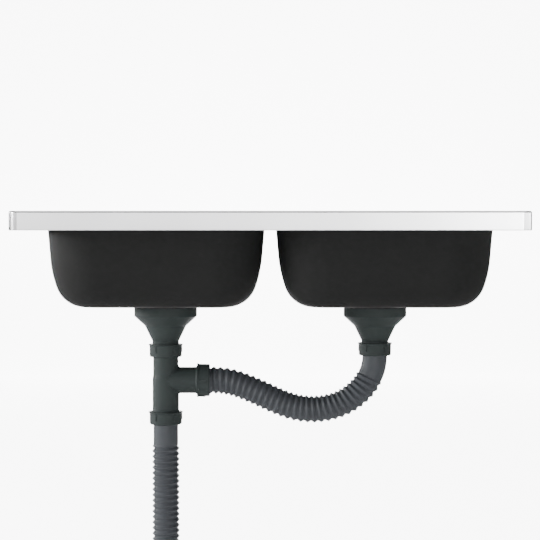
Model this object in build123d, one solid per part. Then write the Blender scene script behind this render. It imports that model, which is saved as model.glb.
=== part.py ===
from build123d import *
import math
import os

# A lay-on kitchen sink with two drawn bowls, a raised rim with a turned-down skirt, and its waste kit:
# two basket strainers in plastic funnels, a tee, a hose that joins the bowls and a hose to the drain.
# Millimetres. The origin is the middle of the plane that the rim rests on, +X to the right seen from
# the front, +Y to the back, +Z up.

# ---------------------------------------------------------------------------- driving dimensions

# Sheet that the deck, bowls and strainers are pressed from
sheet = 0.8

# Turned pieces have this many flats, so that the model stays light
turned_flats = 24

# Points nearer to each other than this are one
coincidence = 1e-6

# Deck
deck_width = 800.0
deck_depth = 600.0
rim_height = 30.0
deck_corner_radius = 16.0
rim_edge_radius = 3.0
return_flange_width = 15.0
border_width = 20.0
panel_drop = 5.0
panel_slope_run = 5.0
panel_corner_radius = 14.0
flats_per_deck_corner = 5
rim_edge_bands = 2
tap_hole_diameter = 35.0
tap_hole_from_back = 80.0

# Bowls, measured on the water side
bowl_width = 337.0
bowl_length = 400.0
bowl_depth = 147.6
bowl_gap = 29.0
front_margin = 50.0
mouth_radius = 8.0
weld_land = 2.5
wall_draft = 4.3
bottom_radius = 50.0
floor_blend_radius = 130.0
floor_blend_angle = 10.5
floor_corner_radius = 3.0
mouth_bands = 2
bottom_bands = 6
flats_per_bowl_corner = 8

# Drain recess pressed into each bowl's floor
drain_inset = 8.5
recess_depth = 4.0
recess_radius = 58.5
drain_hole_radius = 45.0

# Basket strainers
seal_thickness = 1.5
seal_inner_radius = 46.0
seal_outer_radius = 54.5
strainer_flange_radius = 56.5
cup_radius = 41.5
cup_depth = 23.0
grate_slots = 8
grate_slot_inner = 12.0
grate_slot_length = 17.0
grate_slot_width = 6.0
clamp_screw_radius = 3.0
clamp_head_radius = 7.0
clamp_head_height = 3.5
clamp_screw_length = 25.0

# Lift-out baskets
running_gap = 0.3
basket_sheet = 0.7
basket_rim_gap = 0.6
basket_rim_width = 2.4
basket_taper = 6.0
basket_slots = 12
basket_slot_width = 3.0
basket_slot_inner = 9.0
basket_slot_length = 14.0
plug_seat_width = 3.0
plug_lip_height = 6.0
plug_thickness = 2.0
plug_edge_radius = 36.0
knob_radius = 9.0
knob_height = 5.0
knob_post_radius = 3.5
knob_above_flange = 7.0

# Funnels under the bowls
gasket_thickness = 2.5
funnel_radius = 52.2
funnel_wall = 3.0
funnel_collar_height = 14.0
funnel_shoulder_radius = 34.3
funnel_shoulder_drop = 16.4
funnel_cone_drop = 25.3
tail_radius = 22.1
tail_bore_radius = 18.0
tail_length = 17.1
spider_hub_radius = 7.5
spider_hub_height = 13.0
spider_hub_from_collar = 13.0
spider_ribs = 4
spider_rib_width = 3.0
clamp_nut_flats = 11.0
clamp_nut_height = 8.0
thread_gap = 0.1

# Union nuts, all alike
nut_height = 21.1
nut_flange_radius = 28.6
nut_flange_height = 3.2
nut_body_radius = 27.0
nut_toe_radius = 25.4
nut_toe_height = 1.6
nut_shoulder = 2.7
nut_thread_gap = 0.3
nut_ribs = 5
nut_rib_width = 3.0
nut_rib_reach = 28.4
nut_rib_length = 11.4
nut_rib_turn = 36.0
nut_on_tail = 14.3
left_nut_slack = 2.4

# Washers between a tail and the collar that its nut holds
washer_thickness = 2.0
washer_inner_radius = 18.0
collar_radius = 22.1

# Tee
tee_spigot_radius = 21.0
tee_spigot_length = 37.0
tee_body_radius = 22.0
tee_branch_radius = 21.9
tee_bore_radius = 17.6
tee_branch_drop = 46.4
tee_branch_reach = 52.5
tee_lower_reach = 52.4
tee_bead_radius = 23.5
tee_bead_length = 1.8

# Ribbed hoses
hose_bore_radius = 16.8
hose_cuff_radius = 20.2
hose_crest_radius = 22.5
hose_root_radius = 19.1
hose_sides = 16
bore_steps = 24
bridge_rib_pitch = 10.1
bridge_start_cuff = 46.0
bridge_end_cuff = 4.0
drop_rib_pitch = 9.2
drop_cuff_length = 40.4
drop_ribs = 28
drop_end_cuff = 12.0

# Outlet spigot on the drain hose
outlet_neck_radius = 22.5
outlet_neck_length = 18.0
outlet_radius = 25.0
outlet_length = 42.0

# ------------------------------------------------------------------------------- derived places

panel_top = rim_height - panel_drop
floor_top = panel_top - bowl_depth
bowl_x = (bowl_width + bowl_gap) / 2
bowl_y = front_margin + bowl_length / 2 - deck_depth / 2
drain_x = bowl_x - drain_inset
drain_y = bowl_y
tap_hole_y = deck_depth / 2 - tap_hole_from_back

recess_top = floor_top - recess_depth
flange_top = recess_top + seal_thickness + sheet
cup_floor = flange_top - cup_depth
cup_bore_radius = cup_radius - sheet
gasket_top = recess_top - sheet
funnel_top = gasket_top - gasket_thickness
collar_end = funnel_top - funnel_collar_height
shoulder_end = collar_end - funnel_shoulder_drop
cone_end = shoulder_end - funnel_cone_drop
tail_end = cone_end - tail_length
hub_top = collar_end - spider_hub_from_collar
hub_foot = hub_top - spider_hub_height

right_nut_top = tail_end + nut_on_tail
left_nut_top = right_nut_top - left_nut_slack
nut_seat = nut_height - nut_shoulder
collar_top = tail_end - washer_thickness
hose_collar_thickness = nut_seat - nut_on_tail - washer_thickness
tee_collar_thickness = hose_collar_thickness + left_nut_slack
branch_z = collar_top - tee_branch_drop
lower_nut_top = branch_z - tee_lower_reach
lower_tail_end = lower_nut_top - nut_on_tail
branch_tail_end = tee_branch_reach + nut_on_tail
drop_hose_top = lower_tail_end - washer_thickness
branch_hose_x = branch_tail_end + washer_thickness - drain_x
union_hole_radius = tee_spigot_radius + running_gap

# The connecting hose's centreline in the plane of the two drains, as X and Z of each turning point
bridge_route = [
    (drain_x, collar_top),
    (drain_x, -224.0),
    (168.0, -247.0),
    (151.0, -269.0),
    (127.0, -287.0),
    (99.0, -297.5),
    (70.0, -300.5),
    (41.0, -297.5),
    (14.0, -288.5),
    (-14.0, -275.5),
    (-41.0, -263.5),
    (-61.0, -256.0),
    (-83.7, branch_z),
    (branch_hose_x, branch_z),
]


# ------------------------------------------------------------------------------------- helpers


def face_through(corners):
    """A flat face through its corners, of which neighbours may coincide."""
    kept = []
    for corner, last in zip(corners, corners[-1:] + corners[:-1]):
        if (corner - last).length > coincidence:
            kept.append(corner)
    return Face(Wire.make_polygon(kept, close=True))


def closed_solid(faces):
    """The solid inside a closed set of faces, with the faces that lie in one plane made one."""
    return Part(Solid(Shell(faces)).wrapped).clean()


def band_faces(lower, upper):
    """The four-sided faces from one outline to the next."""
    count = len(lower)
    return [
        face_through([lower[here], lower[(here + 1) % count], upper[(here + 1) % count], upper[here]])
        for here in range(count)
    ]


def ruled_solid(outlines):
    """A solid that runs straight from each outline to the next, closed at both ends."""
    faces = [face_through(outlines[0]), face_through(outlines[-1])]
    for lower, upper in zip(outlines, outlines[1:]):
        faces += band_faces(lower, upper)
    return closed_solid(faces)


def rounded_outline(width, depth, corner, height, flats):
    """The points round a rectangle at a height, whose corners are each turned in a few flats."""
    points = []
    for quarter, (side_x, side_y) in enumerate(((1, 1), (-1, 1), (-1, -1), (1, -1))):
        for step in range(flats + 1):
            angle = math.pi / 2 * (quarter + step / flats)
            x = side_x * (width / 2 - corner) + corner * math.cos(angle)
            y = side_y * (depth / 2 - corner) + corner * math.sin(angle)
            points.append(Vector(x, y, height))
    return points


def slab(width, depth, corner, low, high, flats):
    """A flat plate with rounded corners between two heights."""
    return ruled_solid([rounded_outline(width, depth, corner, height, flats) for height in (low, high)])


def pan(width, depth, corner, high, drop, run):
    """A shallow pan whose sides slope in by run over its drop."""
    rim = rounded_outline(width, depth, corner, high, flats_per_deck_corner)
    base = rounded_outline(width - 2 * run, depth - 2 * run, corner - run, high - drop, flats_per_deck_corner)
    return ruled_solid([rim, base])


def turned(outline):
    """A solid turned about the Z axis from the (radius, height) corners of its section."""
    rings = []
    for radius, height in outline:
        turns = [2 * math.pi * flat / turned_flats for flat in range(turned_flats)]
        rings.append([Vector(radius * math.cos(turn), radius * math.sin(turn), height) for turn in turns])
    faces = []
    for here in range(len(outline)):
        if outline[here - 1][0] + outline[here][0] > 0:
            faces += band_faces(rings[here - 1], rings[here])
    return closed_solid(faces)


def ring(inner, outer, low, high):
    """A plain ring between two heights, or a disc where its inner radius is nothing."""
    return turned([(inner, low), (outer, low), (outer, high), (inner, high)])


def spokes(count, inner, length, width, low, high):
    """Radial bars spread evenly round the Z axis."""
    bar = Pos(inner + length / 2, 0, (low + high) / 2) * Box(length, width, high - low)
    return [Rot(0, 0, 360 * turn / count) * bar for turn in range(count)]


def one(shape):
    """The single solid of a shape, as a part."""
    solids = shape.solids()
    if len(solids) != 1:
        raise ValueError(f"expected one solid, found {len(solids)}")
    return Part(solids[0].wrapped)


def both_drains(shape):
    """The shape under the left drain and its copy under the right one."""
    return [Pos(side * drain_x, drain_y, 0) * shape for side in (-1, 1)]


# ----------------------------------------------------------------------------- deck and bowls


def slope_offset(thickness, drop, run):
    """How far a slope's edge moves sideways when its sheet is offset by a thickness."""
    return thickness * math.tan(math.atan2(drop, run) / 2)


def rim_block(width, depth, corner, low, high, edge):
    """A block with rounded corners whose top edge is rounded too."""
    outlines = [rounded_outline(width, depth, corner, low, flats_per_deck_corner)]
    for band in range(rim_edge_bands + 1):
        angle = math.pi / 2 * band / rim_edge_bands
        inset = edge * (1 - math.cos(angle))
        height = high - edge * (1 - math.sin(angle))
        across = width - 2 * inset
        along = depth - 2 * inset
        outlines.append(rounded_outline(across, along, corner - inset, height, flats_per_deck_corner))
    return ruled_solid(outlines)


def make_deck():
    """The pressed deck: border, lowered panel, skirt and the flange returned under it."""
    inner_width = deck_width - 2 * sheet
    inner_depth = deck_depth - 2 * sheet
    outer = rim_block(deck_width, deck_depth, deck_corner_radius, 0, rim_height, rim_edge_radius)
    cavity = rim_block(
        inner_width,
        inner_depth,
        deck_corner_radius - sheet,
        0,
        rim_height - sheet,
        rim_edge_radius - sheet,
    )
    panel_width = deck_width - 2 * border_width
    panel_depth = deck_depth - 2 * border_width
    ease = slope_offset(sheet, panel_drop, panel_slope_run)
    panel = pan(panel_width, panel_depth, panel_corner_radius, rim_height, panel_drop, panel_slope_run)
    under = pan(
        panel_width + 2 * ease,
        panel_depth + 2 * ease,
        panel_corner_radius + ease,
        rim_height - sheet,
        panel_drop,
        panel_slope_run,
    )
    flange = slab(inner_width, inner_depth, deck_corner_radius - sheet, 0, sheet, flats_per_deck_corner)
    flange -= slab(
        deck_width - 2 * return_flange_width,
        deck_depth - 2 * return_flange_width,
        deck_corner_radius,
        0,
        sheet,
        flats_per_deck_corner,
    )
    deck = (outer - panel) - (cavity - under) + flange
    mouth = bowl_land(panel_top - 2 * sheet, panel_top + sheet)
    deck -= [Pos(side * bowl_x, bowl_y, 0) * mouth for side in (-1, 1)]
    deck -= Pos(0, tap_hole_y, panel_top) * Cylinder(tap_hole_diameter / 2, 4 * sheet)
    return one(deck)


def bowl_land(low, high):
    """The outline that a bowl and its flat land fill in the deck, between two heights."""
    reach = mouth_radius + weld_land
    return slab(
        bowl_width + 2 * reach,
        bowl_length + 2 * reach,
        bowl_corner_radius + reach,
        low,
        high,
        flats_per_bowl_corner,
    )


def bowl_lines(skin):
    """Inset and height of each line round a bowl, on the surface that lies skin outside the water side."""
    draft = math.radians(wall_draft)
    blend = math.radians(floor_blend_angle)
    mouth_centre = (-mouth_radius, panel_top - mouth_radius)
    wall_start = (
        mouth_centre[0] + mouth_radius * math.cos(draft),
        mouth_centre[1] + mouth_radius * math.sin(draft),
    )
    blend_centre_z = floor_top + floor_blend_radius
    bend_z = blend_centre_z - (floor_blend_radius - bottom_radius) * math.cos(blend)
    run = (wall_start[1] + bottom_radius * math.sin(draft) - bend_z) / math.cos(draft)
    bend_inset = wall_start[0] + run * math.sin(draft) + bottom_radius * math.cos(draft)
    blend_inset = bend_inset + (floor_blend_radius - bottom_radius) * math.sin(blend)
    lines = []
    for band in range(mouth_bands + 1):
        angle = math.pi / 2 + (draft - math.pi / 2) * band / mouth_bands
        lines.append(
            (
                mouth_centre[0] + (mouth_radius - skin) * math.cos(angle),
                mouth_centre[1] + (mouth_radius - skin) * math.sin(angle),
            )
        )
    for band in range(bottom_bands + 1):
        angle = math.pi + draft + (math.pi / 2 - blend - draft) * band / bottom_bands
        lines.append(
            (
                bend_inset + (bottom_radius + skin) * math.cos(angle),
                bend_z + (bottom_radius + skin) * math.sin(angle),
            )
        )
    lines.append((blend_inset, floor_top - skin))
    return lines


# The bowl's corners are as round at the mouth as its floor's corners and the wall's inset make them
bowl_corner_radius = bowl_lines(0)[-1][0] + floor_corner_radius


def bowl_form(skin):
    """The solid that fills a bowl up to the deck, on the surface skin outside the water side."""
    outlines = []
    for inset, height in bowl_lines(skin):
        width = bowl_width - 2 * inset
        length = bowl_length - 2 * inset
        corner = bowl_corner_radius - inset
        outlines.append(rounded_outline(width, length, corner, height, flats_per_bowl_corner))
    return ruled_solid(outlines)


def make_bowl(side):
    """A drawn bowl with its welding land, rounded mouth, and the drain recess in its floor."""
    ease = slope_offset(sheet, recess_depth, recess_depth)
    well = turned(
        [
            (0, floor_top),
            (recess_radius + recess_depth, floor_top),
            (recess_radius, recess_top),
            (0, recess_top),
        ]
    )
    outside = turned(
        [
            (0, floor_top - sheet),
            (recess_radius + recess_depth + ease, floor_top - sheet),
            (recess_radius + ease, recess_top - sheet),
            (0, recess_top - sheet),
        ]
    )
    hole = ring(0, drain_hole_radius, recess_top - 2 * sheet, recess_top + sheet)
    to_drain = Pos(-side * drain_inset, 0, 0)
    bowl = bowl_form(sheet) + bowl_land(panel_top - sheet, panel_top) + to_drain * outside
    bowl -= bowl_form(0)
    bowl -= to_drain * well
    bowl -= to_drain * hole
    return Pos(side * bowl_x, bowl_y, 0) * one(bowl)


# ----------------------------------------------------------------------------------- strainers


def make_cup():
    """A strainer cup with its flange, and radial slots in its floor."""
    cup = turned(
        [
            (cup_bore_radius, flange_top),
            (strainer_flange_radius, flange_top),
            (strainer_flange_radius, flange_top - sheet),
            (cup_radius, flange_top - sheet),
            (cup_radius, cup_floor - sheet),
            (clamp_screw_radius + thread_gap, cup_floor - sheet),
            (clamp_screw_radius + thread_gap, cup_floor),
            (cup_bore_radius, cup_floor),
        ]
    )
    low = cup_floor - 2 * sheet
    high = cup_floor + sheet
    cup -= spokes(grate_slots, grate_slot_inner, grate_slot_length, grate_slot_width, low, high)
    return one(cup)


def make_clamp_screw():
    """The screw that draws the funnel up to the strainer cup."""
    return turned(
        [
            (0, cup_floor + clamp_head_height),
            (clamp_head_radius, cup_floor + clamp_head_height),
            (clamp_head_radius, cup_floor),
            (clamp_screw_radius, cup_floor),
            (clamp_screw_radius, cup_floor - clamp_screw_length),
            (0, cup_floor - clamp_screw_length),
        ]
    )


def make_clamp_nut():
    """The hexagonal brass nut that sits in the funnel's hub."""
    across_corners = clamp_nut_flats / math.cos(math.pi / 6)
    prism = extrude(RegularPolygon(across_corners / 2, 6), amount=clamp_nut_height)
    prism -= ring(0, clamp_screw_radius + thread_gap, 0, clamp_nut_height)
    return Pos(0, 0, hub_foot) * one(prism)


def make_plug():
    """The rubber plug under a basket: a disc whose lip seals on the cup's floor."""
    lip_foot = cup_floor + running_gap
    disc_under = lip_foot + plug_lip_height
    disc_top = disc_under + plug_thickness
    return turned(
        [
            (knob_post_radius, disc_top),
            (plug_edge_radius, disc_top),
            (plug_edge_radius, lip_foot),
            (plug_edge_radius - plug_seat_width, lip_foot),
            (plug_edge_radius - plug_seat_width, disc_under),
            (knob_post_radius, disc_under),
        ]
    )


def basket_floor():
    """The height of a basket's underside, on its plug."""
    return cup_floor + running_gap + plug_lip_height + plug_thickness


def make_basket():
    """A lift-out basket with a turned-out rim and slots in its floor and side."""
    foot = basket_floor()
    rim_radius = cup_bore_radius - basket_rim_gap
    wall_radius = rim_radius - basket_rim_width
    floor_radius = wall_radius - basket_taper
    outside = [
        (knob_post_radius, foot),
        (floor_radius, foot),
        (wall_radius, flange_top - basket_sheet),
        (rim_radius, flange_top - basket_sheet),
        (rim_radius, flange_top),
        (wall_radius - basket_sheet, flange_top),
        (floor_radius - basket_sheet, foot + basket_sheet),
        (knob_post_radius, foot + basket_sheet),
    ]
    basket = turned(outside)
    high = foot + 2 * basket_sheet
    basket -= spokes(
        basket_slots, basket_slot_inner, basket_slot_length, basket_slot_width, foot - basket_sheet, high
    )
    return one(basket)


def make_knob():
    """The knob and post that lift a basket."""
    foot = basket_floor() - plug_thickness
    top = flange_top + knob_above_flange
    return turned(
        [
            (0, foot),
            (knob_post_radius, foot),
            (knob_post_radius, top - knob_height),
            (knob_radius, top - knob_height / 2),
            (knob_radius, top),
            (0, top),
        ]
    )


# ------------------------------------------------------------------------- funnels and unions


def make_spider_rib():
    """One rib from the middle of a funnel to the middle of its wall."""
    at_tail = (tail_radius + tail_bore_radius) / 2
    at_shoulder = funnel_shoulder_radius - funnel_wall / 2
    at_collar = funnel_radius - funnel_wall / 2
    foot_reach = at_shoulder - (at_shoulder - at_tail) * (shoulder_end - hub_foot) / funnel_cone_drop
    top_reach = at_shoulder + (at_collar - at_shoulder) * (hub_top - shoulder_end) / funnel_shoulder_drop
    outline = [
        (0, hub_foot),
        (foot_reach, hub_foot),
        (at_shoulder, shoulder_end),
        (top_reach, hub_top),
        (0, hub_top),
    ]
    section = make_face(Polyline(*outline, close=True))
    return extrude(Plane.XZ * section, amount=spider_rib_width / 2, both=True)


def make_funnel():
    """A plastic funnel with its threaded tail and the ribbed hub that the clamp screw pulls on."""
    outer = [
        (funnel_radius, funnel_top),
        (funnel_radius, collar_end),
        (funnel_shoulder_radius, shoulder_end),
        (tail_radius, cone_end),
        (tail_radius, tail_end),
    ]
    inner = [
        (tail_bore_radius, tail_end),
        (tail_bore_radius, cone_end),
        (funnel_shoulder_radius - funnel_wall, shoulder_end),
        (funnel_radius - funnel_wall, collar_end),
        (funnel_radius - funnel_wall, funnel_top),
    ]
    rib = make_spider_rib()
    ribs = [Rot(0, 0, 360 * turn / spider_ribs) * rib for turn in range(spider_ribs)]
    funnel = turned(outer + inner) + ribs + ring(0, spider_hub_radius, hub_foot, hub_top)
    pocket = extrude(RegularPolygon(clamp_nut_flats / math.cos(math.pi / 6) / 2, 6), amount=clamp_nut_height)
    funnel -= Pos(0, 0, hub_foot) * pocket
    funnel -= ring(0, clamp_screw_radius + running_gap, hub_foot, hub_top + running_gap)
    return one(funnel)


def make_union_nut():
    """A union nut below zero height: its grip flange on top, raised grip ribs, and its seat at the foot."""
    nut = turned(
        [
            (tail_radius + nut_thread_gap, 0),
            (nut_flange_radius, 0),
            (nut_flange_radius, -nut_flange_height),
            (nut_body_radius, -nut_flange_height),
            (nut_body_radius, nut_toe_height - nut_height),
            (nut_toe_radius, -nut_height),
            (union_hole_radius, -nut_height),
            (union_hole_radius, -nut_seat),
            (tail_radius + nut_thread_gap, -nut_seat),
        ]
    )
    chamfer_run = nut_rib_reach - nut_body_radius
    rib_foot = -nut_flange_height - nut_rib_length
    rib_section = [
        (nut_body_radius - chamfer_run / 2, -nut_flange_height),
        (nut_rib_reach, -nut_flange_height),
        (nut_rib_reach, rib_foot + chamfer_run),
        (nut_body_radius - chamfer_run / 2, rib_foot - chamfer_run / 2),
    ]
    rib_face = Plane.XZ * make_face(Polyline(*rib_section, close=True))
    rib = extrude(rib_face, amount=nut_rib_width / 2, both=True)
    for turn in range(nut_ribs):
        nut += Rot(0, 0, nut_rib_turn - 90 + 360 * turn / nut_ribs) * rib
    return one(nut)


def branch_frame(along):
    """The frame of the tee's branch: its +Z runs back into the tee, from a point along the branch."""
    origin = (-drain_x + along, drain_y, branch_z)
    return Plane(origin=origin, x_dir=(0, 0, -1), z_dir=(-1, 0, 0)).location


def make_tee():
    """The tee under the left funnel, with a collar at its top and threaded tails below and to the right."""
    spigot_end = collar_top - tee_spigot_length
    bead_top = lower_nut_top + tee_bead_length
    run = turned(
        [
            (0, collar_top),
            (collar_radius, collar_top),
            (collar_radius, collar_top - tee_collar_thickness),
            (tee_spigot_radius, collar_top - tee_collar_thickness),
            (tee_spigot_radius, spigot_end),
            (tee_body_radius, spigot_end),
            (tee_body_radius, bead_top),
            (tee_bead_radius, lower_nut_top),
            (tail_radius, lower_nut_top),
            (tail_radius, lower_tail_end),
            (0, lower_tail_end),
        ]
    )
    branch = turned(
        [
            (0, tee_branch_reach),
            (tee_branch_radius, tee_branch_reach),
            (tee_branch_radius, tee_bead_length),
            (tee_bead_radius, 0),
            (tail_radius, 0),
            (tail_radius, -nut_on_tail),
            (0, -nut_on_tail),
        ]
    )
    run_bore = ring(0, tee_bore_radius, lower_tail_end, collar_top)
    branch_bore = ring(0, tee_bore_radius, -nut_on_tail, tee_branch_reach)
    tee = Pos(-drain_x, drain_y, 0) * run + branch_frame(tee_branch_reach) * branch
    tee -= Pos(-drain_x, drain_y, 0) * run_bore
    tee -= branch_frame(tee_branch_reach) * branch_bore
    return one(tee)


def make_union_nuts():
    """The four union nuts, each where its tail is."""
    nut = make_union_nut()
    return [
        Pos(-drain_x, drain_y, left_nut_top) * nut,
        Pos(-drain_x, drain_y, lower_nut_top) * nut,
        branch_frame(tee_branch_reach) * nut,
        Pos(drain_x, drain_y, right_nut_top) * nut,
    ]


def make_union_washers():
    """The four flat washers, one at the end of each tail."""
    washer = ring(washer_inner_radius, collar_radius, -washer_thickness, 0)
    return [
        Pos(-drain_x, drain_y, tail_end) * washer,
        Pos(-drain_x, drain_y, lower_tail_end) * washer,
        branch_frame(branch_tail_end) * washer,
        Pos(drain_x, drain_y, tail_end) * washer,
    ]


# --------------------------------------------------------------------------------------- hoses


def section_outline(path, distance, radius):
    """A many-sided ring round a path, square to it, that never twists about it."""
    centre = path.position_at(distance, position_mode=PositionMode.LENGTH)
    along = path.tangent_at(distance, position_mode=PositionMode.LENGTH)
    plane = Plane(origin=centre, x_dir=(0, 1, 0), z_dir=along)
    corners = []
    for side in range(hose_sides):
        turn = 2 * math.pi * (side + 0.5) / hose_sides
        corners.append(plane.from_local_coords(Vector(radius * math.cos(turn), radius * math.sin(turn), 0)))
    return corners


def tube_along(path, sections):
    """A tube of changing radius, in triangles from each (distance, radius) section to the next."""
    outlines = [section_outline(path, distance, radius) for distance, radius in sections]
    faces = [face_through(outlines[0]), face_through(outlines[-1])]
    for lower, upper in zip(outlines, outlines[1:]):
        for here in range(hose_sides):
            after = (here + 1) % hose_sides
            faces.append(face_through([lower[here], lower[after], upper[after]]))
            faces.append(face_through([lower[here], upper[after], upper[here]]))
    return closed_solid(faces)


def pleats(start, ribs, pitch):
    """Distance and radius at the root and crest of each rib of a hose."""
    sections = []
    for rib in range(ribs):
        sections.append((start + rib * pitch, hose_root_radius))
        sections.append((start + (rib + 0.5) * pitch, hose_crest_radius))
    sections.append((start + ribs * pitch, hose_root_radius))
    return sections


def make_bridge_path():
    """The centreline of the connecting hose: its route with each turn rounded as far as its runs allow."""
    points = [Vector(x, drain_y, z) for x, z in bridge_route]
    radii = []
    for before, point, after in zip(points, points[1:], points[2:]):
        turn = math.radians((point - before).get_angle(after - point))
        shorter = min((point - before).length, (after - point).length)
        radii.append(0.45 * shorter / math.tan(turn / 2))
    print("connecting hose radii:", [round(radius, 1) for radius in radii])
    return FilletPolyline(*points, radius=radii)


def make_bridge_hose():
    """The ribbed hose that joins the right funnel to the tee."""
    path = make_bridge_path()
    ribs = int((path.length - bridge_start_cuff - bridge_end_cuff) / bridge_rib_pitch)
    print("connecting hose length:", round(path.length, 1), "ribs:", ribs)
    length = path.length
    cuff = [(0, hose_cuff_radius), (bridge_start_cuff - bridge_rib_pitch / 2, hose_cuff_radius)]
    end = [(length, hose_cuff_radius)]
    hose = tube_along(path, cuff + pleats(bridge_start_cuff, ribs, bridge_rib_pitch) + end)
    hose += tube_along(path, [(0, collar_radius), (hose_collar_thickness, collar_radius)])
    hose += tube_along(path, [(length - hose_collar_thickness, collar_radius), (length, collar_radius)])
    bore = [(length * step / bore_steps, hose_bore_radius) for step in range(bore_steps + 1)]
    return one(hose - tube_along(path, bore))


def make_drop_hose():
    """The ribbed hose that hangs from the tee."""
    length = drop_cuff_length + drop_ribs * drop_rib_pitch + drop_end_cuff
    path = Line((-drain_x, drain_y, drop_hose_top), (-drain_x, drain_y, drop_hose_top - length))
    print("drain hose length:", round(length, 1), "ribs:", drop_ribs)
    cuff = [(0, hose_cuff_radius), (drop_cuff_length - drop_rib_pitch / 2, hose_cuff_radius)]
    end = [(length - drop_end_cuff / 2, hose_cuff_radius), (length, hose_cuff_radius)]
    hose = tube_along(path, cuff + pleats(drop_cuff_length, drop_ribs, drop_rib_pitch) + end)
    hose += tube_along(path, [(0, collar_radius), (hose_collar_thickness, collar_radius)])
    return one(hose - tube_along(path, [(0, hose_bore_radius), (length, hose_bore_radius)])), length


def make_outlet(top):
    """The stepped spigot that pushes into a waste pipe."""
    neck_end = top - outlet_neck_length
    end = neck_end - outlet_length
    spigot = ring(0, outlet_neck_radius, neck_end, top)
    spigot += Pos(0, 0, (neck_end + end) / 2) * Cylinder(outlet_radius, outlet_length)
    spigot -= ring(0, hose_bore_radius, end, top)
    return Pos(-drain_x, drain_y, 0) * one(spigot)


# ------------------------------------------------------------------------------------ assembly

drop_hose, drop_length = make_drop_hose()
gasket = ring(drain_hole_radius, funnel_radius, funnel_top, gasket_top)
seal = ring(seal_inner_radius, seal_outer_radius, recess_top, recess_top + seal_thickness)

pieces = {
    "deck": [make_deck()],
    "left_bowl": [make_bowl(-1)],
    "right_bowl": [make_bowl(1)],
    "cup_seals": both_drains(seal),
    "strainer_cups": both_drains(make_cup()),
    "funnel_gaskets": both_drains(gasket),
    "clamp_screws": both_drains(make_clamp_screw()),
    "clamp_nuts": both_drains(make_clamp_nut()),
    "union_nuts": make_union_nuts(),
    "union_washers": make_union_washers(),
    "tee": [make_tee()],
    "connecting_hose": [make_bridge_hose()],
    "drain_hose": [drop_hose],
    "outlet_spigot": [make_outlet(drop_hose_top - drop_length)],
}
for name, piece in {
    "funnel": make_funnel(),
    "basket": make_basket(),
    "basket_plug": make_plug(),
    "basket_knob": make_knob(),
}.items():
    pieces[f"left_{name}"], pieces[f"right_{name}"] = [[copy] for copy in both_drains(piece)]

os.makedirs("parts", exist_ok=True)
for name, solids in pieces.items():
    export_step(Compound(children=solids) if len(solids) > 1 else solids[0], f"parts/{name}.step")
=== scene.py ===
"""The looks of a lay-on kitchen sink: two bowls, strainers, funnels, a tee and two ribbed hoses."""

import logging
import math
from dataclasses import dataclass
from enum import Enum
from functools import lru_cache
from typing import Iterable, Sequence

import bmesh
import bpy
from mathutils import Matrix, Vector


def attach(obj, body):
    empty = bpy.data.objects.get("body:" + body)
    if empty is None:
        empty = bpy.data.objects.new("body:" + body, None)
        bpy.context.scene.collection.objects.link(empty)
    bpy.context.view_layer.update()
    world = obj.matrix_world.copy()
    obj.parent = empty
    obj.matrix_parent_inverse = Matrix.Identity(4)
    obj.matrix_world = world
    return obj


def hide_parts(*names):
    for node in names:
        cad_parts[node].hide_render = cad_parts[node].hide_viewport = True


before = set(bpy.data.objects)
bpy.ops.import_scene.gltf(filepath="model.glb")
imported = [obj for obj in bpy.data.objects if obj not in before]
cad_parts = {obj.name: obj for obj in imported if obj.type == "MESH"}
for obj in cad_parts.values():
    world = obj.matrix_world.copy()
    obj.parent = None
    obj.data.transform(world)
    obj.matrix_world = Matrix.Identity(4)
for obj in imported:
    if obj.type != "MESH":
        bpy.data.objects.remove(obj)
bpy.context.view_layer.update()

MM = 0.001
PICTURE_PIXELS = 540.0
SINK = "sink"
LOG = logging.getLogger("sink")

# The places of a Mix node's sockets for colours: its factor, both colours and the result.
MIX_FACTOR, MIX_LOW, MIX_HIGH, MIX_RESULT = 0, 6, 7, 2
# How many faces go round a turned form.
ROUND_FACETS = 96
# Past this angle an edge stays sharp.
CREASE_DEGREES = 32.0
# Points nearer than the first and edges shorter than the second are merged, in millimetres.
MERGE_DISTANCE = 0.0005
SHORTEST_EDGE = 0.0002
# The most of a straight run that one rounded corner may take.
MOST_OF_RUN = 0.49

# A row of points, a point of a flat line, and such a point with the radius that rounds it.
Loop = list[Vector]
Flat = tuple[float, float]
Corner = tuple[float, float, float]
# The radius that rounds each corner of a flat line.
Rounding = tuple[float, ...]
Point = tuple[float, float, float]
Colour = tuple[float, float, float]
# A node's own settings, and what its sockets are given.
Settings = dict[str, object]
Inputs = dict[str | int, object]


# ------------------------------------------------------------------------------------ node trees


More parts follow.
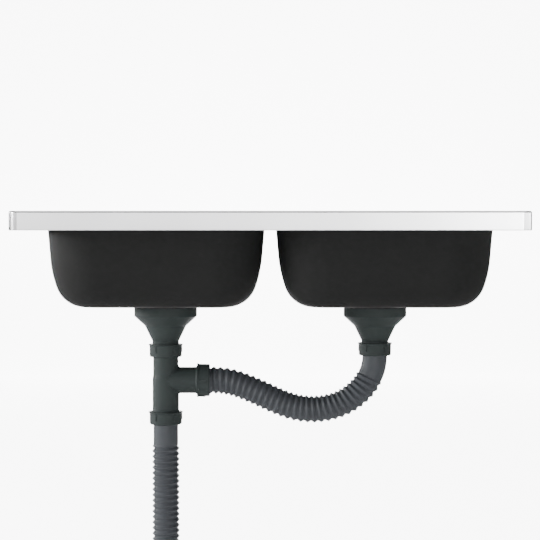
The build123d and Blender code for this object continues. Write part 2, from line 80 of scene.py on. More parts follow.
class Value:
    """A number in a node tree, which Python expressions can work on."""

    def __init__(self, book: "NodeBook", socket: bpy.types.NodeSocket) -> None:
        """Wraps a socket.

        Args:
            book: The tree that the socket is in.
            socket: The output that gives the number.
        """
        self.book = book
        self.socket = socket

    def math(self, operation: str, first: "Value | float", second: "Value | float" = 0.0) -> "Value":
        """Adds a Math node.

        Args:
            operation: The node's operation.
            first: Its first number.
            second: Its second number.

        Returns:
            The result.
        """
        return self.book.value("ShaderNodeMath", {"operation": operation}, {0: first, 1: second})

    def __add__(self, other: "Value | float") -> "Value":
        """This number plus another."""
        return self.math("ADD", self, other)

    def __radd__(self, other: float) -> "Value":
        """Another number plus this one."""
        return self.math("ADD", other, self)

    def __sub__(self, other: "Value | float") -> "Value":
        """This number less another."""
        return self.math("SUBTRACT", self, other)

    def __rsub__(self, other: float) -> "Value":
        """Another number less this one."""
        return self.math("SUBTRACT", other, self)

    def __mul__(self, other: "Value | float") -> "Value":
        """This number times another."""
        return self.math("MULTIPLY", self, other)

    def __rmul__(self, other: float) -> "Value":
        """Another number times this one."""
        return self.math("MULTIPLY", other, self)

    def __truediv__(self, other: "Value | float") -> "Value":
        """This number divided by another."""
        return self.math("DIVIDE", self, other)

    def __rtruediv__(self, other: float) -> "Value":
        """Another number divided by this one."""
        return self.math("DIVIDE", other, self)

    def fraction(self) -> "Value":
        """What is left of this number past the last whole one."""
        return self.math("FRACT", self)

    def size(self) -> "Value":
        """This number without its sign."""
        return self.math("ABSOLUTE", self)

    def between(self, low: "Value | float", high: "Value | float") -> "Value":
        """How far this number is from low to high, eased at both ends.

        Args:
            low: Where the result is 0.
            high: Where the result is 1.

        Returns:
            A number from 0 to 1.
        """
        settings = {"interpolation_type": "SMOOTHSTEP"}
        inputs = {"Value": self, "From Min": low, "From Max": high}
        return self.book.value("ShaderNodeMapRange", settings, inputs)


class NodeBook:
    """A node tree that is filled one node at a time."""

    def __init__(self, tree: bpy.types.NodeTree) -> None:
        """Takes the tree to fill.

        Args:
            tree: A material's tree or a geometry tree.
        """
        self.tree = tree

    def node(
        self,
        kind: str,
        settings: Settings | None = None,
        inputs: Inputs | None = None,
    ) -> bpy.types.Node:
        """Adds a node, sets it, and then gives its sockets their values or links.

        Args:
            kind: The node's type.
            settings: Its own settings, with the names and types that it captures under "captures".
            inputs: Its sockets, by name or place, with a value or what they are linked from.

        Returns:
            The node.
        """
        made = self.tree.nodes.new(kind)
        for name, setting in (settings or {}).items():
            if name == "captures":
                for word, form in setting.items():
                    made.capture_items.new(form, word)
            else:
                setattr(made, name, setting)
        for name, given in (inputs or {}).items():
            socket = made.inputs[name]
            if isinstance(given, Value):
                self.tree.links.new(given.socket, socket)
            elif isinstance(given, bpy.types.NodeSocket):
                self.tree.links.new(given, socket)
            else:
                socket.default_value = given
        return made

    def value(
        self,
        kind: str,
        settings: Settings | None = None,
        inputs: Inputs | None = None,
        output: int | str = 0,
    ) -> Value:
        """Adds a node and wraps one of its outputs.

        Args:
            kind: The node's type.
            settings: Its own settings.
            inputs: Its sockets.
            output: The output's name or place.

        Returns:
            The output's number.
        """
        return Value(self, self.node(kind, settings, inputs).outputs[output])


class Paint(NodeBook):
    """One material in the making."""

    def __init__(self, name: str) -> None:
        """Starts an empty material.

        Args:
            name: The material's name.
        """
        self.material = bpy.data.materials.new(name)
        self.material.use_nodes = True
        super().__init__(self.material.node_tree)
        self.tree.nodes.clear()
        self.place = self.node("ShaderNodeTexCoord").outputs["Object"]

    def axis(self, letter: str) -> Value:
        """One of the object's own coordinates, in metres."""
        return self.value("ShaderNodeSeparateXYZ", None, {0: self.place}, letter)

    def stretched(self, per_metre: Point) -> bpy.types.NodeSocket:
        """The object's own coordinates, stretched.

        Args:
            per_metre: How many times each axis is repeated in a metre.

        Returns:
            The stretched coordinates.
        """
        return self.node("ShaderNodeMapping", None, {"Vector": self.place, "Scale": per_metre}).outputs[0]

    def noise(self, per_metre: Point, detail: float = 2.0, roughness: float = 0.5) -> Value:
        """Cloudy noise on the object's own coordinates.

        Args:
            per_metre: Clouds in a metre, along each axis.
            detail: How many finer layers it has.
            roughness: How strong the finer layers are.

        Returns:
            A number about one half.
        """
        inputs = {"Vector": self.stretched(per_metre), "Scale": 1.0, "Detail": detail, "Roughness": roughness}
        return self.value("ShaderNodeTexNoise", None, inputs)

    def cells(self, per_metre: float) -> Value:
        """The distance to the nearest of many scattered points.

        Args:
            per_metre: Points in a metre.

        Returns:
            A number from 0 at a point.
        """
        inputs = {"Vector": self.stretched((per_metre,) * 3), "Scale": 1.0}
        return self.value("ShaderNodeTexVoronoi", None, inputs)

    def tint(self, amount: Value, low: Colour, high: Colour) -> bpy.types.NodeSocket:
        """A colour between two.

        Args:
            amount: 0 for the first colour and 1 for the second.
            low: The first colour.
            high: The second colour.

        Returns:
            The colour.
        """
        inputs = {MIX_FACTOR: amount, MIX_LOW: (*low, 1.0), MIX_HIGH: (*high, 1.0)}
        return self.node("ShaderNodeMix", {"data_type": "RGBA"}, inputs).outputs[MIX_RESULT]

    def bump(self, height: Value, distance: float, strength: float) -> bpy.types.NodeSocket:
        """A surface raised by a number.

        Args:
            height: The number.
            distance: How far 1 raises it, in metres.
            strength: How much of that shows.

        Returns:
            The surface's normal.
        """
        inputs = {"Height": height, "Distance": distance, "Strength": strength}
        return self.node("ShaderNodeBump", None, inputs).outputs[0]

    def finished(self, inputs: Inputs) -> bpy.types.Material:
        """Ends the material with its surface.

        Args:
            inputs: The surface shader's sockets.

        Returns:
            The material.
        """
        surface = self.node("ShaderNodeBsdfPrincipled", None, inputs)
        self.node("ShaderNodeOutputMaterial", None, {"Surface": surface.outputs[0]})
        return self.material


# --------------------------------------------------------------------------------------- finishes


def toned(colour: Colour, factor: float) -> Colour:
    """A colour made lighter or darker by a factor."""
    return tuple(factor * part for part in colour)


@dataclass(frozen=True)
class SheetSteel:
    """Stainless steel sheet with a fine grain along one or two axes."""

    name: str
    colour: Colour = (0.80, 0.80, 0.81)
    roughness: float = 0.30
    grain_swing: float = 0.10
    grain_per_metre: Point = (20.0, 1500.0, 1500.0)
    grain_detail: float = 3.0
    grain_roughness: float = 0.6
    grain_height: float = 0.00002
    grain_strength: float = 0.10
    clouds_per_metre: float = 9.0
    cloud_detail: float = 3.0
    cloud_swing: float = 0.06
    cloud_shade: float = 0.93

    def material(self) -> bpy.types.Material:
        """Makes the steel's material.

        Returns:
            The material.
        """
        paint = Paint(self.name)
        grain = paint.noise(self.grain_per_metre, self.grain_detail, self.grain_roughness)
        clouds = paint.noise((self.clouds_per_metre,) * 3, self.cloud_detail)
        smoothest = self.roughness - 0.5 * (self.grain_swing + self.cloud_swing)
        return paint.finished(
            {
                "Base Color": paint.tint(clouds, toned(self.colour, self.cloud_shade), self.colour),
                "Metallic": 1.0,
                "Roughness": grain * self.grain_swing + clouds * self.cloud_swing + smoothest,
                "Normal": paint.bump(grain, self.grain_height, self.grain_strength),
            }
        )


@dataclass(frozen=True)
class SprayedCoat:
    """The black sound-deadening coat that is sprayed on a bowl's outside."""

    name: str = "sprayed_coat"
    colour: Colour = (0.0145, 0.0145, 0.0145)
    cloud_tone: float = 1.25
    clouds_per_metre: float = 14.0
    smoothest: float = 0.62
    cloud_swing: float = 0.10
    specular: float = 0.15
    peel_per_metre: float = 260.0
    peel_detail: float = 3.0
    peel_roughness: float = 0.55
    specks_per_metre: float = 420.0
    speck_share: float = 0.5
    relief: float = 0.0004
    relief_strength: float = 0.30

    def material(self) -> bpy.types.Material:
        """Makes the coat's material.

        Returns:
            The material.
        """
        paint = Paint(self.name)
        peel = paint.noise((self.peel_per_metre,) * 3, self.peel_detail, self.peel_roughness)
        specks = paint.cells(self.specks_per_metre)
        clouds = paint.noise((self.clouds_per_metre,) * 3)
        surface = peel + specks * self.speck_share
        return paint.finished(
            {
                "Base Color": paint.tint(clouds, self.colour, toned(self.colour, self.cloud_tone)),
                "Roughness": clouds * self.cloud_swing + self.smoothest,
                "Specular IOR Level": self.specular,
                "Normal": paint.bump(surface, self.relief, self.relief_strength),
            }
        )


@dataclass(frozen=True)
class MouldedPlastic:
    """Polypropylene from a mould with a fine even texture."""

    name: str
    colour: Colour
    roughness: float = 0.55
    specular: float = 0.2
    clouds_per_metre: Point = (30.0, 30.0, 12.0)
    cloud_detail: float = 3.0
    cloud_swing: float = 0.12
    cloud_tones: tuple[float, float] = (0.90, 1.12)
    texture_per_metre: float = 1500.0
    texture_height: float = 0.00004
    texture_strength: float = 0.25

    def material(self) -> bpy.types.Material:
        """Makes the plastic's material.

        Returns:
            The material.
        """
        paint = Paint(self.name)
        clouds = paint.noise(self.clouds_per_metre, self.cloud_detail)
        texture = paint.noise((self.texture_per_metre,) * 3)
        darker, lighter = (toned(self.colour, tone) for tone in self.cloud_tones)
        return paint.finished(
            {
                "Base Color": paint.tint(clouds, darker, lighter),
                "Roughness": clouds * self.cloud_swing + (self.roughness - 0.5 * self.cloud_swing),
                "Specular IOR Level": self.specular,
                "Normal": paint.bump(texture, self.texture_height, self.texture_strength),
            }
        )


@dataclass(frozen=True)
class MouldedRubber:
    """Black rubber of seals and plugs, with a dusty bloom."""

    name: str = "black_rubber_look"
    colour: Colour = (0.018, 0.018, 0.019)
    bloom_tone: float = 2.2
    bloom_per_metre: float = 60.0
    bloom_detail: float = 4.0
    bloom_roughness: float = 0.6
    smoothest: float = 0.55
    bloom_swing: float = 0.2
    specular: float = 0.35
    texture_per_metre: float = 900.0
    texture_height: float = 0.00005
    texture_strength: float = 0.3

    def material(self) -> bpy.types.Material:
        """Makes the rubber's material.

        Returns:
            The material.
        """
        paint = Paint(self.name)
        bloom = paint.noise((self.bloom_per_metre,) * 3, self.bloom_detail, self.bloom_roughness)
        texture = paint.noise((self.texture_per_metre,) * 3)
        return paint.finished(
            {
                "Base Color": paint.tint(bloom, self.colour, toned(self.colour, self.bloom_tone)),
                "Roughness": bloom * self.bloom_swing + self.smoothest,
                "Specular IOR Level": self.specular,
                "Normal": paint.bump(texture, self.texture_height, self.texture_strength),
            }
        )


@dataclass(frozen=True)
class TurnedBrass:
    """Brass bar turned and tapped."""

    name: str = "turned_brass"
    colour: Colour = (0.72, 0.52, 0.24)
    dull_tone: float = 0.8
    smoothest: float = 0.22
    grain_swing: float = 0.15
    grain_per_metre: Point = (200.0, 200.0, 3000.0)
    grain_detail: float = 3.0
    grain_height: float = 0.00003
    grain_strength: float = 0.2

    def material(self) -> bpy.types.Material:
        """Makes the brass's material.

        Returns:
            The material.
        """
        paint = Paint(self.name)
        grain = paint.noise(self.grain_per_metre, self.grain_detail)
        return paint.finished(
            {
                "Base Color": paint.tint(grain, toned(self.colour, self.dull_tone), self.colour),
                "Metallic": 1.0,
                "Roughness": grain * self.grain_swing + self.smoothest,
                "Normal": paint.bump(grain, self.grain_height, self.grain_strength),
            }
        )


@dataclass(frozen=True)
class StudioWhite:
    """The pale floor and backdrop, which glow behind the object so that they photograph white."""

    name: str = "studio_white"
    colour: Colour = (0.8, 0.8, 0.8)
    roughness: float = 0.9
    glow: float = 8.0
    source: float = -2.9
    spread: float = 0.175
    spread_fade: float = 0.03
    front: float = 1.4
    top: float = 1.6
    fade: float = 0.3

    def material(self) -> bpy.types.Material:
        """Makes the studio's material.

        Returns:
            The material.
        """
        paint = Paint(self.name)
        depth = paint.axis("Y")
        fan = paint.axis("X").size() / (depth - self.source)
        inside = 1.0 - fan.between(self.spread, self.spread + self.spread_fade)
        behind = depth.between(self.front, self.front + self.fade)
        below = 1.0 - paint.axis("Z").between(self.top, self.top + self.fade)
        return paint.finished(
            {
                "Base Color": (*self.colour, 1.0),
                "Roughness": self.roughness,
                "Emission Color": paint.tint(inside * behind * below, (0.0, 0.0, 0.0), (1.0, 1.0, 1.0)),
                "Emission Strength": self.glow,
            }
        )


Finish = SheetSteel | SprayedCoat | MouldedPlastic | MouldedRubber | TurnedBrass | StudioWhite

DECK_STEEL = SheetSteel(
    "deck_steel",
    colour=(0.88, 0.88, 0.89),
    roughness=0.17,
    grain_swing=0.04,
)
BOWL_STEEL = SheetSteel(
    "bowl_steel",
    colour=(0.76, 0.76, 0.77),
    roughness=0.34,
    grain_swing=0.12,
    grain_per_metre=(300.0, 300.0, 40.0),
)
STRAINER_STEEL = SheetSteel(
    "strainer_steel",
    colour=(0.84, 0.84, 0.85),
    roughness=0.16,
    grain_swing=0.06,
    grain_per_metre=(500.0, 500.0, 500.0),
)
COAT = SprayedCoat()
PIPE_PLASTIC = MouldedPlastic("pipe_plastic", colour=(0.0345, 0.0435, 0.0425))
HOSE_PLASTIC = MouldedPlastic(
    "hose_plastic_look",
    colour=(0.066, 0.072, 0.080),
    roughness=0.5,
    specular=0.25,
)
KNOB_PLASTIC = MouldedPlastic(
    "knob_plastic",
    colour=(0.02, 0.02, 0.021),
    roughness=0.2,
    specular=0.5,
)
RUBBER = MouldedRubber()
BRASS = TurnedBrass()


@lru_cache(maxsize=None)
def material_of(finish: Finish) -> bpy.types.Material:
    """Makes a finish's material once.

    Args:
        finish: The finish.

    Returns:
        Its material.
    """
    return finish.material()


# ----------------------------------------------------------------------------------------- meshes


def unit(angle: float) -> Vector:
    """The flat unit vector at an angle in radians."""
    return Vector((math.cos(angle), math.sin(angle)))


def eased_line(corners: Sequence[Corner], closed: bool, step_degrees: float = 9.0) -> list[Flat]:
    """Rounds the corners of a flat line.

    Args:
        corners: Each corner's two coordinates and the radius that rounds it.
        closed: Whether the last corner joins the first.
        step_degrees: The most that one piece of an arc turns.

    Returns:
        The points of the rounded line.
    """
    points: list[Flat] = []
    for here, (x, y, radius) in enumerate(corners):
        ends = not closed and here in (0, len(corners) - 1)
        if radius <= 0 or ends:
            points.append((x, y))
            continue
        corner = Vector((x, y))
        back = Vector(corners[here - 1][:2]) - corner
        ahead = Vector(corners[(here + 1) % len(corners)][:2]) - corner
        opening = back.angle(ahead)
        room = MOST_OF_RUN * min(back.length, ahead.length)
        reach = min(radius / math.tan(opening / 2), room)
        radius = reach * math.tan(opening / 2)
        inwards = (back.normalized() + ahead.normalized()).normalized()
        middle = corner + inwards * (radius / math.sin(opening / 2))
        start = corner + back.normalized() * reach - middle
        turn = math.pi - opening
        steps = max(1, math.ceil(math.degrees(turn) / step_degrees))
        sign = 1 if start.x * (corner - middle).y - start.y * (corner - middle).x > 0 else -1
        for step in range(steps + 1):
            angle = sign * turn * step / steps
            x_part = start.x * math.cos(angle) - start.y * math.sin(angle)
            y_part = start.x * math.sin(angle) + start.y * math.cos(angle)
            points.append((middle.x + x_part, middle.y + y_part))
    return points


def rounded(places: Sequence[Flat], rounding: Sequence[float]) -> list[Corner]:
    """Gives each corner of a flat line the radius that rounds it."""
    return [(x, y, radius) for (x, y), radius in zip(places, rounding, strict=True)]


def rounded_loop(
    width: float,
    depth: float,
    corner: float,
    height: float,
    centre: Flat = (0.0, 0.0),
    corner_steps: int = 12,
    side_steps: int = 1,
) -> Loop:
    """The points round a rectangle with round corners, in millimetres.

    Args:
        width: Its size along X.
        depth: Its size along Y.
        corner: Its corners' radius.
        height: Its Z.
        centre: Its middle.
        corner_steps: Pieces in each corner.
        side_steps: Pieces in each straight side.

    Returns:
        The points, anticlockwise seen from above.
    """
    points: Loop = []
    for quarter, (side_x, side_y) in enumerate(((1, 1), (-1, 1), (-1, -1), (1, -1))):
        middle_x = centre[0] + side_x * (width / 2 - corner)
        middle_y = centre[1] + side_y * (depth / 2 - corner)
        middle = Vector((middle_x, middle_y, height))
        for step in range(corner_steps + 1):
            angle = math.pi / 2 * (quarter + step / corner_steps)
            points.append(middle + Vector((corner * math.cos(angle), corner * math.sin(angle), 0)))
        run = (depth if quarter % 2 else width) - 2 * corner
        along = Vector((-math.sin(angle), math.cos(angle), 0)) * run
        last = points[-1]
        points += [last + along * (step / side_steps) for step in range(1, side_steps)]
    return points


class Draft:
    """The points and faces of a piece in the making, in millimetres."""

    def __init__(self) -> None:
        """Starts with nothing."""
        self.mesh = bmesh.new()

    def loops(self, loops: Sequence[Loop], ends: bool = True, ring: bool = False) -> "Draft":
        """Adds the skin over a row of loops that have as many points each.

        Args:
            loops: The loops.
            ends: Whether the first and last are filled.
            ring: Whether the last is joined to the first.

        Returns:
            This draft.
        """
        rows = [[self.mesh.verts.new(point) for point in loop] for loop in loops]
        pairs = list(zip(rows, rows[1:])) + ([(rows[-1], rows[0])] if ring else [])
        for lower, upper in pairs:
            for here in range(len(lower)):
                after = (here + 1) % len(lower)
                self.mesh.faces.new((lower[here], lower[after], upper[after], upper[here]))
        if ends and not ring:
            self.mesh.faces.new(reversed(rows[0]))
            self.mesh.faces.new(rows[-1])
        return self

    def turned(self, section: Sequence[Flat], place: Matrix, facets: int = ROUND_FACETS) -> "Draft":
        """Adds a section turned about Z.

        Args:
            section: The closed section's radius and height at each point.
            place: Where the turned form goes.
            facets: How many faces go round it.

        Returns:
            This draft.
        """
        turns = [2 * math.pi * step / facets for step in range(facets)]
        rows = []
        for radius, height in section:
            rows.append([place @ Vector((radius * math.cos(t), radius * math.sin(t), height)) for t in turns])
        return self.loops(rows, ends=False, ring=True)

    def piece(self, name: str, finish: Finish) -> bpy.types.Object:
        """Ends the draft as an object, closed and with its faces outwards.

        Args:
            name: The object's name.
            finish: What it is made of.

        Returns:
            The object, in metres.
        """
        bmesh.ops.remove_doubles(self.mesh, verts=self.mesh.verts, dist=MERGE_DISTANCE)
        bmesh.ops.dissolve_degenerate(self.mesh, edges=self.mesh.edges, dist=SHORTEST_EDGE)
        bmesh.ops.recalc_face_normals(self.mesh, faces=self.mesh.faces)
        bmesh.ops.scale(self.mesh, vec=(MM, MM, MM), verts=self.mesh.verts)
        data = bpy.data.meshes.new(name)
        self.mesh.to_mesh(data)
        self.mesh.free()
        made = bpy.data.objects.new(name, data)
        bpy.context.scene.collection.objects.link(made)
        data.materials.append(material_of(finish))
        shade(made, CREASE_DEGREES)
        return made


def shade(piece: bpy.types.Object, crease: float) -> None:
    """Shades a piece smooth, except past an angle.

    Args:
        piece: The piece.
        crease: The angle in degrees.
    """
    piece.data.polygons.foreach_set("use_smooth", [True] * len(piece.data.polygons))
    piece.data.set_sharp_from_angle(angle=math.radians(crease))


def settled(piece: bpy.types.Object) -> bpy.types.Object:
    """Turns a piece's modifiers into its plain mesh.

    Args:
        piece: The piece.

    Returns:
        The same piece.
    """
    bpy.context.view_layer.update()
    seen = piece.evaluated_get(bpy.context.evaluated_depsgraph_get())
    data = bpy.data.meshes.new_from_object(seen)
    piece.modifiers.clear()
    piece.data = data
    return piece


class Carving(Enum):
    """What other forms do to the piece that they are used on."""

    ADD = "UNION"
    CUT = "DIFFERENCE"


def carved(body: bpy.types.Object, tools: Iterable[bpy.types.Object], carving: Carving) -> bpy.types.Object:
    """Joins other forms to a piece, or cuts them out of it.

    Args:
        body: The piece.
        tools: The other forms, which are used up.
        carving: What they do.

    Returns:
        The piece.
    """
    for tool in tools:
        change = body.modifiers.new(tool.name, "BOOLEAN")
        change.operation = carving.value
        change.solver = "EXACT"
        change.object = tool
        settled(body)
        bpy.data.objects.remove(tool)
    return body


def weighted(piece: bpy.types.Object, crease: float = CREASE_DEGREES) -> bpy.types.Object:
    """Shades a piece so that its large flat faces stay flat beside its rounded edges.

    Args:
        piece: The piece.
        crease: The angle, in degrees, past which an edge stays sharp.

    Returns:
        The piece.
    """
    shade(piece, crease)
    change = piece.modifiers.new("even_shading", "WEIGHTED_NORMAL")
    change.keep_sharp = True
    return settled(piece)


# -------------------------------------------------------------------------------- geometry trees


class GeometryTree(NodeBook):
    """A Geometry Nodes tree with named inputs."""

    def __init__(self, name: str, numbers: dict[str, float], whole: dict[str, int] | None = None) -> None:
        """Starts the tree and its inputs.

        Args:
            name: The tree's name.
            numbers: The tree's sizes and what each is at first.
            whole: The same for its counts.
        """
        super().__init__(bpy.data.node_groups.new(name, "GeometryNodeTree"))
        self.tree.interface.new_socket("Geometry", in_out="INPUT", socket_type="NodeSocketGeometry")
        for word, number in numbers.items():
            made = self.tree.interface.new_socket(word, in_out="INPUT", socket_type="NodeSocketFloat")
            made.default_value = number
        for word, number in (whole or {}).items():
            made = self.tree.interface.new_socket(word, in_out="INPUT", socket_type="NodeSocketInt")
            made.default_value = number
        self.tree.interface.new_socket("Geometry", in_out="OUTPUT", socket_type="NodeSocketGeometry")
        self.start = self.node("NodeGroupInput")

    def given(self, word: str) -> Value:
        """One of the tree's inputs.

        Args:
            word: Its name.

        Returns:
            Its number.
        """
        return Value(self, self.start.outputs[word])

    def ended(self, geometry: bpy.types.NodeSocket, finish: Finish) -> bpy.types.NodeTree:
        """Ends the tree with real geometry in one finish.

        Args:
            geometry: What the tree made.
            finish: Its finish.

        Returns:
            The tree.
        """
        real = self.node("GeometryNodeRealizeInstances", None, {"Geometry": geometry})
        inputs = {"Geometry": real.outputs[0], "Material": material_of(finish)}
        dressed = self.node("GeometryNodeSetMaterial", None, inputs)
        self.node("NodeGroupOutput", None, {0: dressed.outputs[0]})
        return self.tree


def grown(piece: bpy.types.Object, tree: bpy.types.NodeTree, sizes: dict[str, float]) -> bpy.types.Object:
    """Puts a geometry tree on a piece, with its inputs set by their identifiers.

    Args:
        piece: The piece that the tree starts from.
        tree: The tree.
        sizes: What the tree's inputs are set to, by their names.

    Returns:
        The piece, still with its modifier.
    """
    change = piece.modifiers.new(tree.name, "NODES")
    change.node_group = tree
    for item in tree.interface.items_tree:
        if item.item_type == "SOCKET" and item.in_out == "INPUT" and item.name in sizes:
            change[item.identifier] = sizes[item.name]
    return piece


@lru_cache(maxsize=None)
def crown_tree(finish: Finish) -> bpy.types.NodeTree:
    """The tree that repeats a form evenly round the Z axis.

    Args:
        finish: The form's finish.

    Returns:
        The tree.
    """
    book = GeometryTree("crown_of_" + finish.name, {"First turn": 0.0}, {"Count": 8})
    count = book.given("Count")
    points = book.node("GeometryNodeMeshLine", None, {"Count": count, "Offset": (0.0, 0.0, 0.0)})
    angle = book.value("GeometryNodeInputIndex") * (2 * math.pi) / count + book.given("First turn")
    turn = book.node("ShaderNodeCombineXYZ", None, {"Z": angle})
    rotation = book.node("FunctionNodeEulerToRotation", None, {0: turn.outputs[0]})
    inputs = {
        "Points": points.outputs[0],
        "Instance": book.start.outputs["Geometry"],
        "Rotation": rotation.outputs[0],
    }
    ring = book.node("GeometryNodeInstanceOnPoints", None, inputs)
    return book.ended(ring.outputs[0], finish)


def crown(form: Draft, name: str, finish: Finish, count: int, first_degrees: float = 0.0) -> bpy.types.Object:
    """Repeats a form evenly round the Z axis.

    Args:
        form: The form, as it lies at no turn.
        name: The piece's name.
        finish: Its finish.
        count: How many there are.
        first_degrees: Where the first lies.

    Returns:
        The piece.
    """
    piece = form.piece(name, finish)
    grown(piece, crown_tree(finish), {"First turn": math.radians(first_degrees), "Count": count})
    return settled(piece)


def moved(piece: bpy.types.Object, place: Matrix) -> bpy.types.Object:
    """Moves a piece's mesh, and leaves its object at the origin.

    Args:
        piece: The piece.
        place: The move, in millimetres.

    Returns:
        The piece.
    """
    change = place.copy()
    change.translation = place.translation * MM
    piece.data.transform(change)
    return piece


def joined(first: bpy.types.Object, *others: bpy.types.Object) -> bpy.types.Object:
    """Puts the meshes of several pieces in one.

    Args:
        first: The piece that is kept.
        others: The pieces that go into it.

    Returns:
        The kept piece.
    """
    both = bmesh.new()
    for piece in (first, *others):
        both.from_mesh(piece.data)
    both.to_mesh(first.data)
    both.free()
    for piece in others:
        bpy.data.objects.remove(piece)
    return first


# ------------------------------------------------------------------------------------------ places


class Side(Enum):
    """The side that a bowl and its waste are on, seen from the front."""

    LEFT = -1
    RIGHT = 1

    @property
    def word(self) -> str:
        """The side's name as the nodes have it."""
        return self.name.lower()


@dataclass(frozen=True)
class Levels:
    """Places that more than one sub-assembly shares, in millimetres."""

    sheet: float = 0.8
    bowl_x: float = 182.2
    drain_x: float = 174.5
    drain_y: float = -50.0
    panel_top: float = 25.0
    cut_low: float = 15.0
    cut_high: float = 35.0
    floor_top: float = -122.6
    recess_top: float = -126.6
    flange_top: float = -124.3
    cup_floor: float = -147.3
    tail_end: float = -202.7
    collar_top: float = -204.7
    branch_z: float = -251.1
    branch_reach: float = 52.5
    nut_on_tail: float = 14.3
    left_nut_top: float = -190.8
    right_nut_top: float = -188.4
    lower_nut_top: float = -303.5

    def drain(self, side: Side, height: float = 0.0) -> Matrix:
        """The place on a drain's axis at a height."""
        return Matrix.Translation((side.value * self.drain_x, self.drain_y, height))

    def branch(self, along: float) -> Matrix:
        """The place along the tee's branch, whose Z runs back into the tee."""
        turn = Matrix(((0, 0, -1), (0, -1, 0), (-1, 0, 0))).to_4x4()
        return Matrix.Translation((-self.drain_x + along, self.drain_y, self.branch_z)) @ turn


LEVELS = Levels()


class Slot(Enum):
    """The record's material slots."""

    SATIN_STEEL = "satin_steel"
    COATED_STEEL = "coated_steel"
    POLISHED_STEEL = "polished_steel"
    GREY_PLASTIC = "grey_plastic"
    HOSE_PLASTIC = "hose_plastic"
    BLACK_PLASTIC = "black_plastic"
    BLACK_RUBBER = "black_rubber"


def stand_for(piece: bpy.types.Object, body: str, slot: Slot, *nodes: str) -> bpy.types.Object:
    """Makes a piece ride on a body and stand for nodes of the frame.

    Args:
        piece: The piece.
        body: The body's name.
        slot: The record's material slot; it is not used.
        nodes: The nodes that it stands for.

    Returns:
        The piece.
    """
    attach(piece, body)
    if nodes:
        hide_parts(*nodes)
    stands_for = ", ".join(nodes) or "no node"
    LOG.info("%s: %d faces, on %s, for %s", piece.name, len(piece.data.polygons), body, stands_for)
    return piece


def dress_node(name: str, finish: Finish) -> None:
    """Gives a node of the frame a finish.

    Args:
        name: The node's name.
        finish: Its finish.
    """
    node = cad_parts[name]
    for here in range(len(node.data.materials)):
        node.data.materials[here] = material_of(finish)
    LOG.info("%s: kept, in %s", name, finish.name)


# ------------------------------------------------------------------------------------ deck and bowls


@dataclass
class Deck:
    """The pressed deck with its raised border, lowered panel, skirt and return flange."""

    width: float = 800.0
    depth: float = 600.0
    rim_height: float = 30.0
    corner_radius: float = 16.0
    edge_radius: float = 3.0
    foot_radius: float = 1.2
    flange_width: float = 15.0
    border_width: float = 20.0
    slope_run: float = 5.0
    panel_lap: float = 8.0
    panel_corner: float = 14.0
    least_corner: float = 3.0
    crease_radius: float = 2.5
    step_degrees: float = 11.0
    tap_radius: float = 17.5
    tap_y: float = 220.0

    def lines(self) -> list[Corner]:
        """The deck's section from under its panel, round the skirt, to the panel's top.

        Returns:
            Each corner's distance in from the skirt, its height and its radius.
        """
        sheet = LEVELS.sheet
        panel = LEVELS.panel_top
        ease = sheet * math.tan(math.atan2(self.rim_height - panel, self.slope_run) / 2)
        low_border = self.rim_height - sheet
        slope_end = self.border_width + self.slope_run
        return [
            (slope_end + self.panel_lap, panel - sheet, 0.0),
            (slope_end - ease, panel - sheet, self.crease_radius),
            (self.border_width - ease, low_border, self.crease_radius),
            (sheet, low_border, self.edge_radius - sheet),
            (sheet, sheet, self.foot_radius - sheet),
            (self.flange_width, sheet, 0.0),
            (self.flange_width, 0.0, 0.0),
            (0.0, 0.0, self.foot_radius),
            (0.0, self.rim_height, self.edge_radius),
            (self.border_width, self.rim_height, self.crease_radius),
            (slope_end, panel, self.crease_radius),
            (slope_end + self.panel_lap, panel, 0.0),
        ]

    def corner_at(self, inset: float) -> float:
        """The radius of the deck's corners in plan.

        Args:
            inset: A distance in from the skirt.

        Returns:
            The radius there.
        """
        at_border = self.corner_radius - self.edge_radius
        if inset <= self.edge_radius:
            return self.corner_radius - inset
        if inset <= self.border_width:
            share = (inset - self.edge_radius) / (self.border_width - self.edge_radius)
            return at_border + (self.panel_corner - at_border) * share
        return max(self.panel_corner - (inset - self.border_width), self.least_corner)

    def tap_form(self) -> Draft:
        """The form that the tap hole cuts out of the deck.

        Returns:
            The form.
        """
        low, high = LEVELS.cut_low, LEVELS.cut_high
        section = [(0.0, low), (self.tap_radius, low), (self.tap_radius, high), (0.0, high)]
        return Draft().turned(section, Matrix.Translation((0, self.tap_y, 0)))

    def build(self, mouths: Sequence[Draft]) -> bpy.types.Object:
        """Makes the deck.

        Args:
            mouths: The forms that the bowls fill in it.

        Returns:
            The deck.
        """
        loops = []
        for inset, height in eased_line(self.lines(), False, self.step_degrees):
            corner = self.corner_at(inset)
            loops.append(rounded_loop(self.width - 2 * inset, self.depth - 2 * inset, corner, height))
        deck = Draft().loops(loops).piece("pressed_deck", DECK_STEEL)
        tools = [mouth.piece(f"mouth_{place}", DECK_STEEL) for place, mouth in enumerate(mouths)]
        tools.append(self.tap_form().piece("tap_hole", DECK_STEEL))
        carved(deck, tools, Carving.CUT)
        return stand_for(weighted(deck), SINK, Slot.SATIN_STEEL, "deck")


